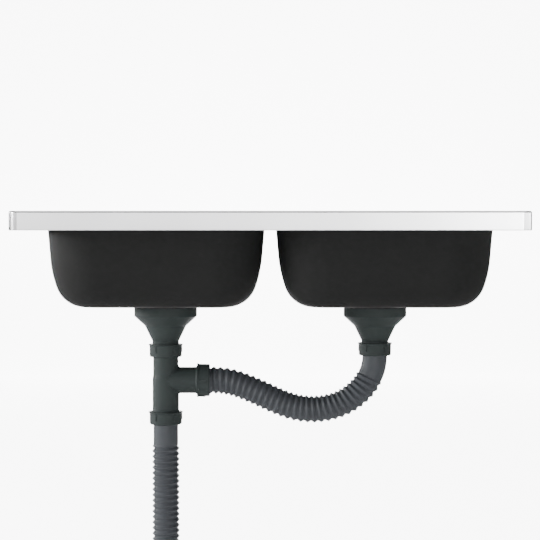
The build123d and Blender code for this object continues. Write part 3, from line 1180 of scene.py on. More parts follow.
@dataclass
class Bowl:
    """One drawn bowl, and the black coat sprayed on its outside."""

    side: Side
    width: float = 344.6
    length: float = 400.0
    mouth_radius: float = 8.0
    land: float = 1.3
    draft: float = 4.75
    belly_radius: float = 175.0
    belly_end: float = 19.8
    bottom_radius: float = 46.3
    bottom_end: float = 85.5
    blend_radius: float = 310.0
    floor_corner: float = 3.0
    recess_radius: float = 58.5
    recess_depth: float = 4.0
    recess_slope: float = 45.0
    recess_lap: float = 4.0
    recess_crease: float = 1.5
    recess_step_degrees: float = 12.0
    hole_radius: float = 45.0
    coat: float = 0.6
    coat_sunk: float = 0.2
    coat_top: float = 19.0
    coat_inner: float = 52.8
    mouth_steps: int = 8
    arc_steps: tuple[int, int, int] = (6, 14, 4)
    corner_steps: int = 14
    side_steps: int = 14

    @property
    def centre(self) -> Flat:
        """The bowl's middle in plan."""
        return (self.side.value * LEVELS.bowl_x, LEVELS.drain_y)

    @property
    def drain(self) -> Vector:
        """The drain's middle in plan."""
        return Vector((self.side.value * LEVELS.drain_x, LEVELS.drain_y, 0.0))

    def lines(self, skin: float) -> list[Flat]:
        """Inset and height down the bowl's side.

        Args:
            skin: How far outside the water side the line is.

        Returns:
            The points from the mouth to the edge of the flat floor.
        """
        flat = math.pi / 2
        turns = [*(math.radians(angle) for angle in (self.draft, self.belly_end, self.bottom_end)), flat]
        radii = (self.belly_radius, self.bottom_radius, self.blend_radius)
        arcs = list(zip(radii, turns, turns[1:], self.arc_steps))
        mouth = Vector((-self.mouth_radius, LEVELS.panel_top - self.mouth_radius))
        points: list[Flat] = []
        for step in range(self.mouth_steps + 1):
            angle = flat + (turns[0] - flat) * step / self.mouth_steps
            points.append(tuple(mouth + (self.mouth_radius - skin) * unit(angle)))
        spot = mouth + self.mouth_radius * unit(turns[0])
        drop = sum(radius * (math.sin(end) - math.sin(start)) for radius, start, end, _ in arcs)
        run = (spot.y - drop - LEVELS.floor_top) / math.cos(turns[0])
        spot -= run * unit(turns[0] + flat)
        for radius, start, end, count in arcs:
            centre = spot + radius * unit(start)
            for step in range(count + 1):
                points.append(tuple(centre - (radius + skin) * unit(start + (end - start) * step / count)))
            spot = centre - radius * unit(end)
            if end < flat:
                points.pop()
        return points

    @property
    def corner_radius(self) -> float:
        """The radius of the bowl's corners in plan, where its wall meets the deck's level."""
        return self.lines(0.0)[-1][0] + self.floor_corner

    def loop(self, inset: float, height: float) -> Loop:
        """The line round the bowl.

        Args:
            inset: How far in from the bowl's width and length it runs.
            height: Its height.

        Returns:
            The line's points.
        """
        return rounded_loop(
            self.width - 2 * inset,
            self.length - 2 * inset,
            self.corner_radius - inset,
            height,
            self.centre,
            self.corner_steps,
            self.side_steps,
        )

    def round_loop(self, radius: float, height: float) -> Loop:
        """The line round the drain, with a point for each point of the bowl's own lines.

        Args:
            radius: Its radius.
            height: Its height.

        Returns:
            The line's points.
        """
        outline = self.loop(self.lines(0.0)[-1][0], height)
        middle = Vector((self.drain.x, self.drain.y, height))
        return [middle + radius * (point - middle).normalized() for point in outline]

    def well_lines(self, skin: float, inner: float) -> list[Flat]:
        """Radius and height from the flat floor into the drain's recess.

        Args:
            skin: How far outside the water side the line is.
            inner: The radius that the line ends at.

        Returns:
            The points, from the outside in.
        """
        ease = skin * math.tan(math.radians(self.recess_slope) / 2)
        outer = self.recess_radius + self.recess_depth + ease
        crease = self.recess_crease
        corners = [
            (outer + self.recess_lap, LEVELS.floor_top - skin, 0.0),
            (outer, LEVELS.floor_top - skin, crease),
            (self.recess_radius + ease, LEVELS.recess_top - skin, crease),
            (inner, LEVELS.recess_top - skin, 0.0),
        ]
        return eased_line(corners, False, self.recess_step_degrees)

    def down_the_side(self, skin: float, inner: float, top: float = math.inf) -> list[Loop]:
        """The lines round the bowl from its mouth into the drain's recess.

        Args:
            skin: How far outside the water side they are.
            inner: The radius that the last one has.
            top: The height that the bowl's own lines start below.

        Returns:
            The lines, from the top down.
        """
        side = [self.loop(inset, height) for inset, height in self.lines(skin) if height < top]
        return side + [self.round_loop(radius, height) for radius, height in self.well_lines(skin, inner)]

    def land_form(self) -> Draft:
        """The form that the bowl's land fills in the deck."""
        reach = -self.mouth_radius - self.land
        return Draft().loops([self.loop(reach, height) for height in (LEVELS.cut_low, LEVELS.cut_high)])

    def build_steel(self) -> bpy.types.Object:
        """Makes the bowl's steel.

        Returns:
            The steel.
        """
        sheet = LEVELS.sheet
        edge = -self.mouth_radius - self.land
        rows = [self.loop(edge, LEVELS.panel_top), *self.down_the_side(0.0, self.hole_radius)]
        rows += reversed(self.down_the_side(sheet, self.hole_radius))
        rows.append(self.loop(edge, LEVELS.panel_top - sheet))
        bowl = Draft().loops(rows, ring=True).piece(f"{self.side.word}_drawn_bowl", BOWL_STEEL)
        return stand_for(weighted(bowl), SINK, Slot.COATED_STEEL, f"{self.side.word}_bowl")

    def build_coat(self) -> bpy.types.Object:
        """Makes the coat on the bowl's outside, sunk a little into the steel so that no gap shows.

        Returns:
            The coat.
        """
        rows = self.down_the_side(LEVELS.sheet + self.coat, self.coat_inner, self.coat_top)
        rows += reversed(self.down_the_side(LEVELS.sheet - self.coat_sunk, self.coat_inner, self.coat_top))
        coat = Draft().loops(rows, ring=True).piece(f"{self.side.word}_bowl_coat", COAT)
        return stand_for(weighted(coat), SINK, Slot.COATED_STEEL)


# ----------------------------------------------------------------------------------------- strainers


@dataclass
class Strainer:
    """One strainer: its cup, and the basket, plug and knob that lift out of it."""

    side: Side
    flange_radius: float = 56.5
    cup_radius: float = 41.5
    cup_rounding: Rounding = (0.0, 3.0, 2.4, 0.7, 0.0, 1.6, 3.6, 0.0)
    screw_radius: float = 3.1
    grate_slots: int = 8
    grate_slot: tuple[float, float, float] = (12.0, 17.0, 6.0)
    slot_end_steps: int = 8
    slot_cut: float = 3.0
    running_gap: float = 0.3
    basket_sheet: float = 0.7
    basket_rim_gap: float = 0.6
    basket_rim_width: float = 2.4
    basket_taper: float = 6.0
    basket_rounding: Rounding = (0.0, 2.5, 1.2, 0.2, 0.3, 1.2, 1.8, 0.0)
    basket_slots: int = 12
    basket_slot: tuple[float, float, float] = (9.0, 14.0, 3.0)
    plug_lip: float = 6.0
    plug_thickness: float = 2.0
    plug_radius: float = 36.0
    plug_shoulder: float = 1.5
    plug_seat: float = 3.0
    plug_seat_taper: float = 0.5
    plug_rounding: Rounding = (0.0, 1.0, 0.6, 0.6, 1.0, 0.0)
    knob_radius: float = 9.0
    knob_height: float = 5.0
    knob_crown: float = 0.6
    knob_rise: float = 7.0
    knob_rounding: Rounding = (0.0, 0.3, 0.8, 1.2, 1.4, 0.0)
    knob_facets: int = 64
    post_radius: float = 3.5

    @property
    def basket_foot(self) -> float:
        """The height of the basket's underside."""
        return LEVELS.cup_floor + self.running_gap + self.plug_lip + self.plug_thickness

    def turned(self, places: Sequence[Flat], rounding: Rounding, facets: int = ROUND_FACETS) -> Draft:
        """A form turned about the drain's axis.

        Args:
            places: The radius and height of its section's corners.
            rounding: The radius that rounds each corner.
            facets: How many faces go round it.

        Returns:
            The form.
        """
        section = eased_line(rounded(places, rounding), closed=True)
        return Draft().turned(section, LEVELS.drain(self.side), facets)

    def slot_tools(self, name: str, slot: Point, count: int, floor: float) -> bpy.types.Object:
        """Makes the forms that cut a floor's slots.

        Args:
            name: What they are called.
            slot: Where a slot starts, how long it is and how wide.
            count: How many there are.
            floor: The floor's height.

        Returns:
            The forms, at the drain.
        """
        inner, length, width = slot
        ends = [(inner + width / 2, width / 2), (inner + length - width / 2, width / 2)]
        outline: Loop = []
        for place, (x, radius) in enumerate(reversed(ends)):
            for step in range(self.slot_end_steps + 1):
                angle = -math.pi / 2 + math.pi * (place + step / self.slot_end_steps)
                outline.append(Vector((x + radius * math.cos(angle), radius * math.sin(angle), 0)))
        rises = (-self.slot_cut, self.slot_cut)
        rows = [[point + Vector((0, 0, floor + rise)) for point in outline] for rise in rises]
        tools = crown(Draft().loops(rows), name, STRAINER_STEEL, count)
        return moved(tools, LEVELS.drain(self.side))

    def build_cup(self) -> bpy.types.Object:
        """Makes the cup, with its flange and the slots in its floor.

        Returns:
            The cup.
        """
        sheet = LEVELS.sheet
        top = LEVELS.flange_top
        bore = self.cup_radius - sheet
        foot = LEVELS.cup_floor
        places = [
            (self.screw_radius, foot),
            (bore, foot),
            (bore, top),
            (self.flange_radius, top),
            (self.flange_radius, top - sheet),
            (self.cup_radius, top - sheet),
            (self.cup_radius, foot - sheet),
            (self.screw_radius, foot - sheet),
        ]
        cup = self.turned(places, self.cup_rounding).piece(f"{self.side.word}_strainer_cup", STRAINER_STEEL)
        tools = self.slot_tools(f"{self.side.word}_grate", self.grate_slot, self.grate_slots, foot)
        return weighted(carved(cup, [tools], Carving.CUT))

    def build_basket(self) -> bpy.types.Object:
        """Makes the basket.

        Returns:
            The basket.
        """
        sheet = self.basket_sheet
        foot = self.basket_foot
        top = LEVELS.flange_top
        rim = self.cup_radius - LEVELS.sheet - self.basket_rim_gap
        wall = rim - self.basket_rim_width
        floor = wall - self.basket_taper
        places = [
            (self.post_radius, foot),
            (floor, foot),
            (wall, top - sheet),
            (rim, top - sheet),
            (rim, top),
            (wall - sheet, top),
            (floor - sheet, foot + sheet),
            (self.post_radius, foot + sheet),
        ]
        name = f"{self.side.word}_strainer_basket"
        basket = self.turned(places, self.basket_rounding).piece(name, STRAINER_STEEL)
        tools = self.slot_tools(f"{name}_slots", self.basket_slot, self.basket_slots, foot)
        return weighted(carved(basket, [tools], Carving.CUT))

    def build_plug(self) -> bpy.types.Object:
        """Makes the rubber plug under the basket.

        Returns:
            The plug.
        """
        lip_foot = LEVELS.cup_floor + self.running_gap
        under = lip_foot + self.plug_lip
        top = under + self.plug_thickness
        seat = self.plug_radius - self.plug_seat
        places = [
            (self.post_radius, top),
            (self.plug_radius - self.plug_shoulder, top),
            (self.plug_radius, lip_foot),
            (seat, lip_foot),
            (seat - self.plug_seat_taper, under),
            (self.post_radius, under),
        ]
        return self.turned(places, self.plug_rounding).piece(f"{self.side.word}_plug", RUBBER)

    def build_knob(self) -> bpy.types.Object:
        """Makes the knob and its post.

        Returns:
            The knob.
        """
        foot = self.basket_foot - self.plug_thickness
        top = LEVELS.flange_top + self.knob_rise
        places = [
            (0.0, foot),
            (self.post_radius, foot),
            (self.post_radius, top - self.knob_height),
            (self.knob_radius, top - self.knob_height / 2),
            (self.knob_radius, top - self.knob_crown),
            (0.0, top),
        ]
        draft = self.turned(places, self.knob_rounding, self.knob_facets)
        return draft.piece(f"{self.side.word}_knob", KNOB_PLASTIC)

    def build_lifting(self) -> None:
        """Makes all that lifts out of the cup."""
        word = self.side.word
        body = f"{word}_strainer_basket"
        stand_for(self.build_basket(), body, Slot.POLISHED_STEEL, f"{word}_basket")
        stand_for(self.build_plug(), body, Slot.BLACK_RUBBER, f"{word}_basket_plug")
        stand_for(self.build_knob(), body, Slot.BLACK_PLASTIC, f"{word}_basket_knob")


# ------------------------------------------------------------------------------- funnels and unions


@dataclass
class Funnel:
    """One plastic funnel under a bowl, with its threaded tail and ribbed hub."""

    side: Side
    top: float = -129.9
    collar_end: float = -143.9
    shoulder_end: float = -160.3
    cone_end: float = -185.6
    outer_radius: float = 52.2
    shoulder_radius: float = 34.3
    tail_radius: float = 22.1
    bore_radius: float = 18.0
    wall: float = 3.0
    outside_rounding: Rounding = (0.4, 0.5, 2.0, 6.0, 2.5)
    inside_rounding: Rounding = (0.3, 0.3, 4.0, 6.0, 2.0)
    facets: int = 128
    hub_radius: float = 7.5
    hub_span: tuple[float, float] = (-169.9, -156.9)
    hub_rounding: Rounding = (0.0, 0.5, 0.5, 0.0)
    hub_facets: int = 48
    screw_radius: float = 3.3
    ribs: int = 4
    rib_width: float = 3.0
    rib_root: float = 1.0
    thread_start: float = 4.0
    thread_pitch: float = 2.3
    thread_depth: float = 0.35

    @property
    def name(self) -> str:
        """The funnel's name."""
        return f"{self.side.word}_waste_funnel"

    def thread(self) -> list[Flat]:
        """The ridges on the tail, down to its end.

        Returns:
            The radius and height of each ridge and each groove.
        """
        corners: list[Flat] = []
        height = self.cone_end - self.thread_start
        while height > LEVELS.tail_end + self.thread_pitch:
            corners.append((self.tail_radius, height))
            corners.append((self.tail_radius - self.thread_depth, height - self.thread_pitch / 2))
            height -= self.thread_pitch
        return corners

    def wall_middle(self, height: float) -> float:
        """The radius of the middle of the cone's wall.

        Args:
            height: Where, between the collar's end and the cone's end.

        Returns:
            The radius there.
        """
        if height > self.shoulder_end:
            share = (height - self.shoulder_end) / (self.collar_end - self.shoulder_end)
            outer = self.shoulder_radius + (self.outer_radius - self.shoulder_radius) * share
        else:
            share = (self.shoulder_end - height) / (self.shoulder_end - self.cone_end)
            outer = self.shoulder_radius + (self.tail_radius - self.shoulder_radius) * share
        return outer - self.wall / 2

    def shell(self) -> bpy.types.Object:
        """Makes the collar, the cone and the threaded tail.

        Returns:
            The shell.
        """
        thread = self.thread()
        places = [
            (self.outer_radius - self.wall, self.top),
            (self.outer_radius, self.top),
            (self.outer_radius, self.collar_end),
            (self.shoulder_radius, self.shoulder_end),
            (self.tail_radius, self.cone_end),
            *thread,
            (self.tail_radius - self.thread_depth, LEVELS.tail_end),
            (self.bore_radius, LEVELS.tail_end),
            (self.bore_radius, self.cone_end),
            (self.shoulder_radius - self.wall, self.shoulder_end),
            (self.outer_radius - self.wall, self.collar_end),
        ]
        rounding = (*self.outside_rounding, *(0.0 for _ in thread), *self.inside_rounding)
        section = eased_line(rounded(places, rounding), closed=True)
        return Draft().turned(section, LEVELS.drain(self.side), self.facets).piece(self.name, PIPE_PLASTIC)

    def hub(self) -> bpy.types.Object:
        """Makes the hub that the clamp screw's nut sits in.

        Returns:
            The hub.
        """
        low, high = self.hub_span
        bore, outside = self.screw_radius, self.hub_radius
        places = [(bore, low), (outside, low), (outside, high), (bore, high)]
        section = eased_line(rounded(places, self.hub_rounding), closed=True)
        draft = Draft().turned(section, LEVELS.drain(self.side), self.hub_facets)
        return draft.piece(f"{self.name}_hub", PIPE_PLASTIC)

    def arms(self) -> bpy.types.Object:
        """Makes the ribs between the hub and the cone.

        Returns:
            The ribs.
        """
        low, high = self.hub_span
        root = self.screw_radius + self.rib_root
        outline = [
            (root, low),
            (self.wall_middle(low), low),
            (self.wall_middle(self.shoulder_end), self.shoulder_end),
            (self.wall_middle(high), high),
            (root, high),
        ]
        sides = [[Vector((x, y, z)) for x, z in outline] for y in (-self.rib_width / 2, self.rib_width / 2)]
        arms = crown(Draft().loops(sides), f"{self.name}_ribs", PIPE_PLASTIC, self.ribs)
        return moved(arms, LEVELS.drain(self.side))

    def build(self) -> bpy.types.Object:
        """Makes the funnel.

        Returns:
            The funnel.
        """
        funnel = joined(self.shell(), self.hub(), self.arms())
        return stand_for(weighted(funnel), SINK, Slot.GREY_PLASTIC, f"{self.side.word}_funnel")


@dataclass
class UnionNut:
    """A union nut with a lip at its top and raised grip ribs."""

    height: float = 21.1
    lip_radius: float = 28.6
    lip_height: float = 3.2
    lip_insets: tuple[float, float] = (0.5, 0.3)
    lip_drops: tuple[float, float] = (0.9, 1.7)
    body_radius: float = 27.0
    foot_radius: float = 26.8
    toe_radius: float = 25.4
    toe_height: float = 1.6
    bore_radius: float = 22.4
    seat: float = 18.4
    hole_radius: float = 21.3
    rounding: Rounding = (0.3, 0.0, 0.0, 0.4, 0.3, 0.3, 0.5, 0.8, 0.8, 0.5)
    ribs: int = 5
    rib_width: float = 3.0
    rib_reach: float = 28.4
    rib_length: float = 11.4
    rib_root: float = 1.5
    rib_top: float = 2.0
    rib_eases: tuple[float, float] = (0.3, 0.4)
    first_rib_degrees: float = -54.0

    def build_one(self, name: str, place: Matrix) -> bpy.types.Object:
        """Makes one nut.

        Args:
            name: What it is called.
            place: Where its top is.

        Returns:
            The nut.
        """
        places = [
            (self.hole_radius, -self.height),
            (self.hole_radius, -self.seat),
            (self.bore_radius, -self.seat),
            (self.bore_radius, 0.0),
            (self.lip_radius - self.lip_insets[0], 0.0),
            (self.lip_radius, -self.lip_drops[0]),
            (self.lip_radius - self.lip_insets[1], -self.lip_drops[1]),
            (self.body_radius, -self.lip_height),
            (self.foot_radius, self.toe_height - self.height),
            (self.toe_radius, -self.height),
        ]
        section = eased_line(rounded(places, self.rounding), closed=True)
        nut = Draft().turned(section, Matrix.Identity(4)).piece(name, PIPE_PLASTIC)
        return moved(joined(nut, self.grips(f"{name}_grips")), place)

    def grips(self, name: str) -> bpy.types.Object:
        """Makes a nut's grip ribs.

        Args:
            name: What they are called.

        Returns:
            The ribs.
        """
        root = self.body_radius - self.rib_root
        foot = -self.lip_height - self.rib_length
        slope = self.rib_reach - self.body_radius
        outline = [
            (root, -self.rib_top),
            (self.rib_reach - self.rib_eases[0], -self.rib_top),
            (self.rib_reach, foot + slope),
            (self.rib_reach - self.rib_eases[1], foot + slope / 2),
            (root, foot),
        ]
        sides = [[Vector((x, y, z)) for x, z in outline] for y in (-self.rib_width / 2, self.rib_width / 2)]
        return crown(Draft().loops(sides), name, PIPE_PLASTIC, self.ribs, self.first_rib_degrees)

    def build(self) -> bpy.types.Object:
        """Makes the four nuts of the waste kit.

        Returns:
            The nuts in one piece.
        """
        places = {
            "left_funnel_nut": LEVELS.drain(Side.LEFT, LEVELS.left_nut_top),
            "tee_foot_nut": LEVELS.drain(Side.LEFT, LEVELS.lower_nut_top),
            "tee_branch_nut": LEVELS.branch(LEVELS.branch_reach),
            "right_funnel_nut": LEVELS.drain(Side.RIGHT, LEVELS.right_nut_top),
        }
        all_nuts = joined(*(self.build_one(name, place) for name, place in places.items()))
        all_nuts.name = "waste_union_nuts"
        return stand_for(weighted(all_nuts), SINK, Slot.GREY_PLASTIC, "union_nuts")


@dataclass
class Tee:
    """The tee under the left funnel."""

    collar_radius: float = 22.1
    collar_thickness: float = 4.5
    spigot_radius: float = 21.0
    spigot_length: float = 37.0
    step_length: float = 7.0
    body_radius: float = 22.0
    branch_radius: float = 21.9
    tail_radius: float = 22.1
    bore_radius: float = 17.6
    branch_bore_radius: float = 17.55
    overcut: float = 1.0
    bead_radius: float = 23.5
    bead_length: float = 1.8
    bead_slope: float = 0.8
    run_rounding: Rounding = (0.0, 0.2, 0.2, 0.2, 3.0, 3.0, 1.5, 0.2, 0.0, 0.3, 0.0)
    branch_rounding: Rounding = (0.0, 1.5, 0.2, 0.0, 0.0)
    blend: float = 2.6
    root_length: float = 1.0
    root_sunk: float = 0.4
    root_rise: float = 0.2
    root_steps: int = 6
    core_share: float = 0.9
    core_depth: float = 4.0
    facets: int = 128
    bore_facets: int = 64
    crease: float = 40.0

    def run_form(self) -> bpy.types.Object:
        """Makes the outside of the tee's upright run, without its bore.

        Returns:
            The run.
        """
        top = LEVELS.collar_top
        low = LEVELS.lower_nut_top
        end = low - LEVELS.nut_on_tail
        places = [
            (0.0, top),
            (self.collar_radius, top),
            (self.collar_radius, top - self.collar_thickness),
            (self.spigot_radius, top - self.collar_thickness),
            (self.spigot_radius, top - self.spigot_length),
            (self.body_radius, top - self.spigot_length - self.step_length),
            (self.body_radius, low + self.bead_length + self.bead_slope),
            (self.bead_radius, low),
            (self.tail_radius, low),
            (self.tail_radius, end),
            (0.0, end),
        ]
        section = eased_line(rounded(places, self.run_rounding), closed=True)
        return Draft().turned(section, LEVELS.drain(Side.LEFT), self.facets).piece("waste_tee", PIPE_PLASTIC)

    def root_row(self, share: float, angles: Sequence[float]) -> Loop:
        """One row of points on the curved root between the branch and the run.

        Args:
            share: How far up the root the row is, from 0 to 1.
            angles: Where its points lie round the branch.

        Returns:
            The row, with the branch along Z.
        """
        row: Loop = []
        for angle in angles:
            along_run = self.branch_radius * math.cos(angle)
            across = self.branch_radius * math.sin(angle)
            meet = math.sqrt(max(self.body_radius**2 - across**2, 0.0))
            spread = self.blend * abs(math.cos(angle))
            outside = along_run + math.copysign(spread, math.cos(angle))
            start = Vector((outside, across, meet - self.root_sunk))
            corner = Vector((along_run, across, meet))
            end = corner + Vector((0, 0, spread + self.root_rise))
            row.append(start * (1 - share) ** 2 + corner * 2 * share * (1 - share) + end * share**2)
        return row

    def branch_form(self) -> bpy.types.Object:
        """Makes the outside of the tee's branch, whose root spreads where it meets the run.

        Returns:
            The branch, without its bore.
        """
        reach = LEVELS.branch_reach
        places = [
            (self.branch_radius, self.body_radius + self.blend + self.root_length),
            (self.branch_radius, reach - self.bead_length - self.bead_slope),
            (self.bead_radius, reach),
            (self.tail_radius, reach),
            (self.tail_radius, reach + LEVELS.nut_on_tail),
        ]
        angles = [2 * math.pi * step / self.facets for step in range(self.facets)]
        root = [self.root_row(step / self.root_steps, angles) for step in range(self.root_steps + 1)]
        core = [Vector((self.core_share * p.x, self.core_share * p.y, self.core_depth)) for p in root[0]]
        rows = [core, *root]
        for radius, along in eased_line(rounded(places, self.branch_rounding), closed=False):
            rows.append([Vector((radius * math.cos(a), radius * math.sin(a), along)) for a in angles])
        place = LEVELS.branch(0.0)
        loops = [[place @ Vector((p.x, p.y, -p.z)) for p in row] for row in rows]
        return Draft().loops(loops).piece("tee_branch", PIPE_PLASTIC)

    def bore_forms(self) -> list[bpy.types.Object]:
        """Makes the forms that cut the tee's two bores.

        Returns:
            The forms for the run and the branch.
        """
        foot = LEVELS.lower_nut_top - LEVELS.nut_on_tail - self.overcut
        top = LEVELS.collar_top + self.overcut
        run = [(0.0, foot), (self.bore_radius, foot), (self.bore_radius, top), (0.0, top)]
        tail = LEVELS.branch_reach + LEVELS.nut_on_tail + self.overcut
        branch = [(0.0, -tail), (self.branch_bore_radius, -tail), (self.branch_bore_radius, 0.0), (0.0, 0.0)]
        return [
            Draft().turned(run, LEVELS.drain(Side.LEFT), self.bore_facets).piece("run_bore", PIPE_PLASTIC),
            Draft().turned(branch, LEVELS.branch(0.0), self.bore_facets).piece("branch_bore", PIPE_PLASTIC),
        ]

    def build(self) -> bpy.types.Object:
        """Makes the tee with its bores.

        Returns:
            The tee.
        """
        tee = carved(self.run_form(), [self.branch_form()], Carving.ADD)
        carved(tee, self.bore_forms(), Carving.CUT)
        return stand_for(weighted(tee, self.crease), SINK, Slot.GREY_PLASTIC, "tee")


# --------------------------------------------------------------------------------------------- hoses


@lru_cache(maxsize=None)
def hose_tree(finish: Finish) -> bpy.types.NodeTree:
    """The tree that turns a line into a hose with a helical rib.

    Args:
        finish: The hose's finish.

    Returns:
        The tree.
    """
    sizes = {
        "Cuff radius": 0.0206,
        "Root radius": 0.0194,
        "Crest radius": 0.0229,
        "Pitch": 0.0092,
        "First rib": 0.04,
        "Last rib": 0.3,
        "Phase": 0.0,
        "Flank share": 0.75,
        "Station gap": 0.0007,
    }
    book = GeometryTree("ribbed_hose", sizes, {"Facets": 48})
    curve = book.node("GeometryNodeMeshToCurve", None, {0: book.start.outputs["Geometry"]})
    even = book.node(
        "GeometryNodeResampleCurve",
        {"mode": "LENGTH"},
        {"Curve": curve.outputs[0], "Length": book.given("Station gap")},
    )
    along = book.node("GeometryNodeSplineParameter")
    middle = book.node("GeometryNodeInputPosition")
    marked = book.node(
        "GeometryNodeCaptureAttribute",
        {"domain": "POINT", "captures": {"Distance": "FLOAT", "Middle": "VECTOR"}},
        {"Geometry": even.outputs[0], "Distance": along.outputs["Length"], "Middle": middle.outputs[0]},
    )
    circle = book.node(
        "GeometryNodeCurvePrimitiveCircle",
        {"mode": "RADIUS"},
        {"Resolution": book.given("Facets"), "Radius": book.given("Root radius")},
    )
    round_way = book.node("GeometryNodeSplineParameter")
    turned = book.node(
        "GeometryNodeCaptureAttribute",
        {"domain": "POINT", "captures": {"Turn": "FLOAT"}},
        {"Geometry": circle.outputs[0], "Turn": round_way.outputs["Factor"]},
    )
    tube = book.node(
        "GeometryNodeCurveToMesh",
        None,
        {"Curve": marked.outputs["Geometry"], "Profile Curve": turned.outputs["Geometry"]},
    )
    distance = Value(book, marked.outputs["Distance"])
    turn = Value(book, turned.outputs["Turn"])
    first, last = book.given("First rib"), book.given("Last rib")
    root, pitch = book.given("Root radius"), book.given("Pitch")
    flank = book.given("Flank share")
    wave = (distance - first) / pitch - turn + book.given("Phase")
    ridge = 1.0 - (wave.fraction() * 2.0 - 1.0).size()
    eased = ridge * flank + ridge.between(0.0, 1.0) * (1.0 - flank)
    ribbed = root + (book.given("Crest radius") - root) * eased
    starts = distance.between(first, first + pitch * 0.5)
    stops = distance.between(last, last + pitch * 0.5)
    share = starts * (1.0 - stops)
    radius = book.given("Cuff radius") * (1.0 - share) + ribbed * share
    here = book.node("GeometryNodeInputPosition")
    outwards = book.node(
        "ShaderNodeVectorMath",
        {"operation": "SUBTRACT"},
        {0: here.outputs[0], 1: marked.outputs["Middle"]},
    )
    way = book.node("ShaderNodeVectorMath", {"operation": "NORMALIZE"}, {0: outwards.outputs[0]})
    reach = book.node("ShaderNodeVectorMath", {"operation": "SCALE"}, {0: way.outputs[0], "Scale": radius})
    place = book.node(
        "ShaderNodeVectorMath",
        {"operation": "ADD"},
        {0: marked.outputs["Middle"], 1: reach.outputs[0]},
    )
    inputs = {"Geometry": tube.outputs[0], "Position": place.outputs[0]}
    ribs = book.node("GeometryNodeSetPosition", None, inputs)
    return book.ended(ribs.outputs[0], finish)


class FarEnd(Enum):
    OBJECT = "object"
    FITTING = "fitting"


@dataclass
class RibbedHose:
    """A ribbed waste hose on its own route."""

    name: str
    node: str
    route: tuple[Point, ...]
    first_rib: float
    last_cuff: float
    pitch: float
    phase: float
    far_end: FarEnd
    cuff_radius: float = 20.6
    root_radius: float = 19.4
    crest_radius: float = 22.9
    flank_share: float = 0.75
    wall: float = 1.2
    facets: int = 48
    stations_per_rib: int = 14
    route_steps: int = 24
    crease: float = 60.0

    def points(self) -> Loop:
        """The hose's middle line, read from the smooth curve through its route.

        Returns:
            The line's points, in metres.
        """
        curve = bpy.data.curves.new(self.name + "_route", "CURVE")
        curve.dimensions = "3D"
        curve.resolution_u = self.route_steps
        spline = curve.splines.new("NURBS")
        spline.points.add(len(self.route) - 1)
        for point, (x, y, z) in zip(spline.points, self.route):
            point.co = (x, y, z, 1.0)
        spline.order_u = 3
        spline.use_endpoint_u = True
        holder = bpy.data.objects.new(self.name + "_route", curve)
        bpy.context.scene.collection.objects.link(holder)
        bpy.context.view_layer.update()
        line = bpy.data.meshes.new_from_object(holder.evaluated_get(bpy.context.evaluated_depsgraph_get()))
        points = [vertex.co.copy() for vertex in line.vertices]
        bpy.data.objects.remove(holder)
        return points

    @staticmethod
    def length(points: Loop) -> float:
        """The length of a line of points, in metres."""
        return sum((after - before).length for before, after in zip(points, points[1:]))

    def ribbed_tube(self, points: Loop) -> bpy.types.Object:
        """Makes the hose's ribbed wall round its middle line.

        Args:
            points: The line's points.

        Returns:
            The hose.
        """
        data = bpy.data.meshes.new(self.name)
        data.from_pydata(points, [(here, here + 1) for here in range(len(points) - 1)], [])
        hose = bpy.data.objects.new(self.name, data)
        bpy.context.scene.collection.objects.link(hose)
        sizes = {
            "Cuff radius": self.cuff_radius * MM,
            "Root radius": self.root_radius * MM,
            "Crest radius": self.crest_radius * MM,
            "Pitch": self.pitch * MM,
            "First rib": self.first_rib * MM,
            "Last rib": self.length(points) - self.last_cuff * MM,
            "Phase": self.phase,
            "Flank share": self.flank_share,
            "Station gap": self.pitch * MM / self.stations_per_rib,
            "Facets": self.facets,
        }
        grown(hose, hose_tree(HOSE_PLASTIC), sizes)
        skin = hose.modifiers.new("wall", "SOLIDIFY")
        skin.thickness = self.wall * MM
        skin.offset = -1.0
        settled(hose)
        shade(hose, self.crease)
        return hose

    def build(self, with_pieces: Sequence[bpy.types.Object] = ()) -> bpy.types.Object:
        """Args:
            with_pieces: The pieces on it; not used.

        Returns:
            The hose.
        """
        points = self.points()
        length = self.length(points)
        hose = self.ribbed_tube(points)
        stand_for(hose, SINK, Slot.HOSE_PLASTIC, self.node)
        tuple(self.route[0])
        [tuple(point) for point in points]
        LOG.info("%s: %.3f m long", self.name, length)
        return hose


@dataclass
class OutletSpigot:
    """The stepped spigot on the end of the drain hose."""

    top: float = -629.8
    neck_radius: float = 22.5
    neck_length: float = 18.0
    radius: float = 25.0
    length: float = 42.0
    lead_in: tuple[float, float] = (0.9, 4.0)
    bore_radius: float = 16.8
    rounding: Rounding = (0.3, 0.8, 0.6, 0.8, 2.0, 0.3, 0.3)

    def build(self) -> bpy.types.Object:
        """Makes the spigot.

        Returns:
            The spigot.
        """
        neck_end = self.top - self.neck_length
        end = neck_end - self.length
        narrower, lead_in = self.lead_in
        places = [
            (self.bore_radius, self.top),
            (self.neck_radius, self.top),
            (self.neck_radius, neck_end),
            (self.radius, neck_end),
            (self.radius, end + lead_in),
            (self.radius - narrower, end),
            (self.bore_radius, end),
        ]
        section = eased_line(rounded(places, self.rounding), closed=True)
        outlet = Draft().turned(section, LEVELS.drain(Side.LEFT)).piece("stepped_outlet", PIPE_PLASTIC)
        return stand_for(weighted(outlet), SINK, Slot.GREY_PLASTIC, "outlet_spigot")


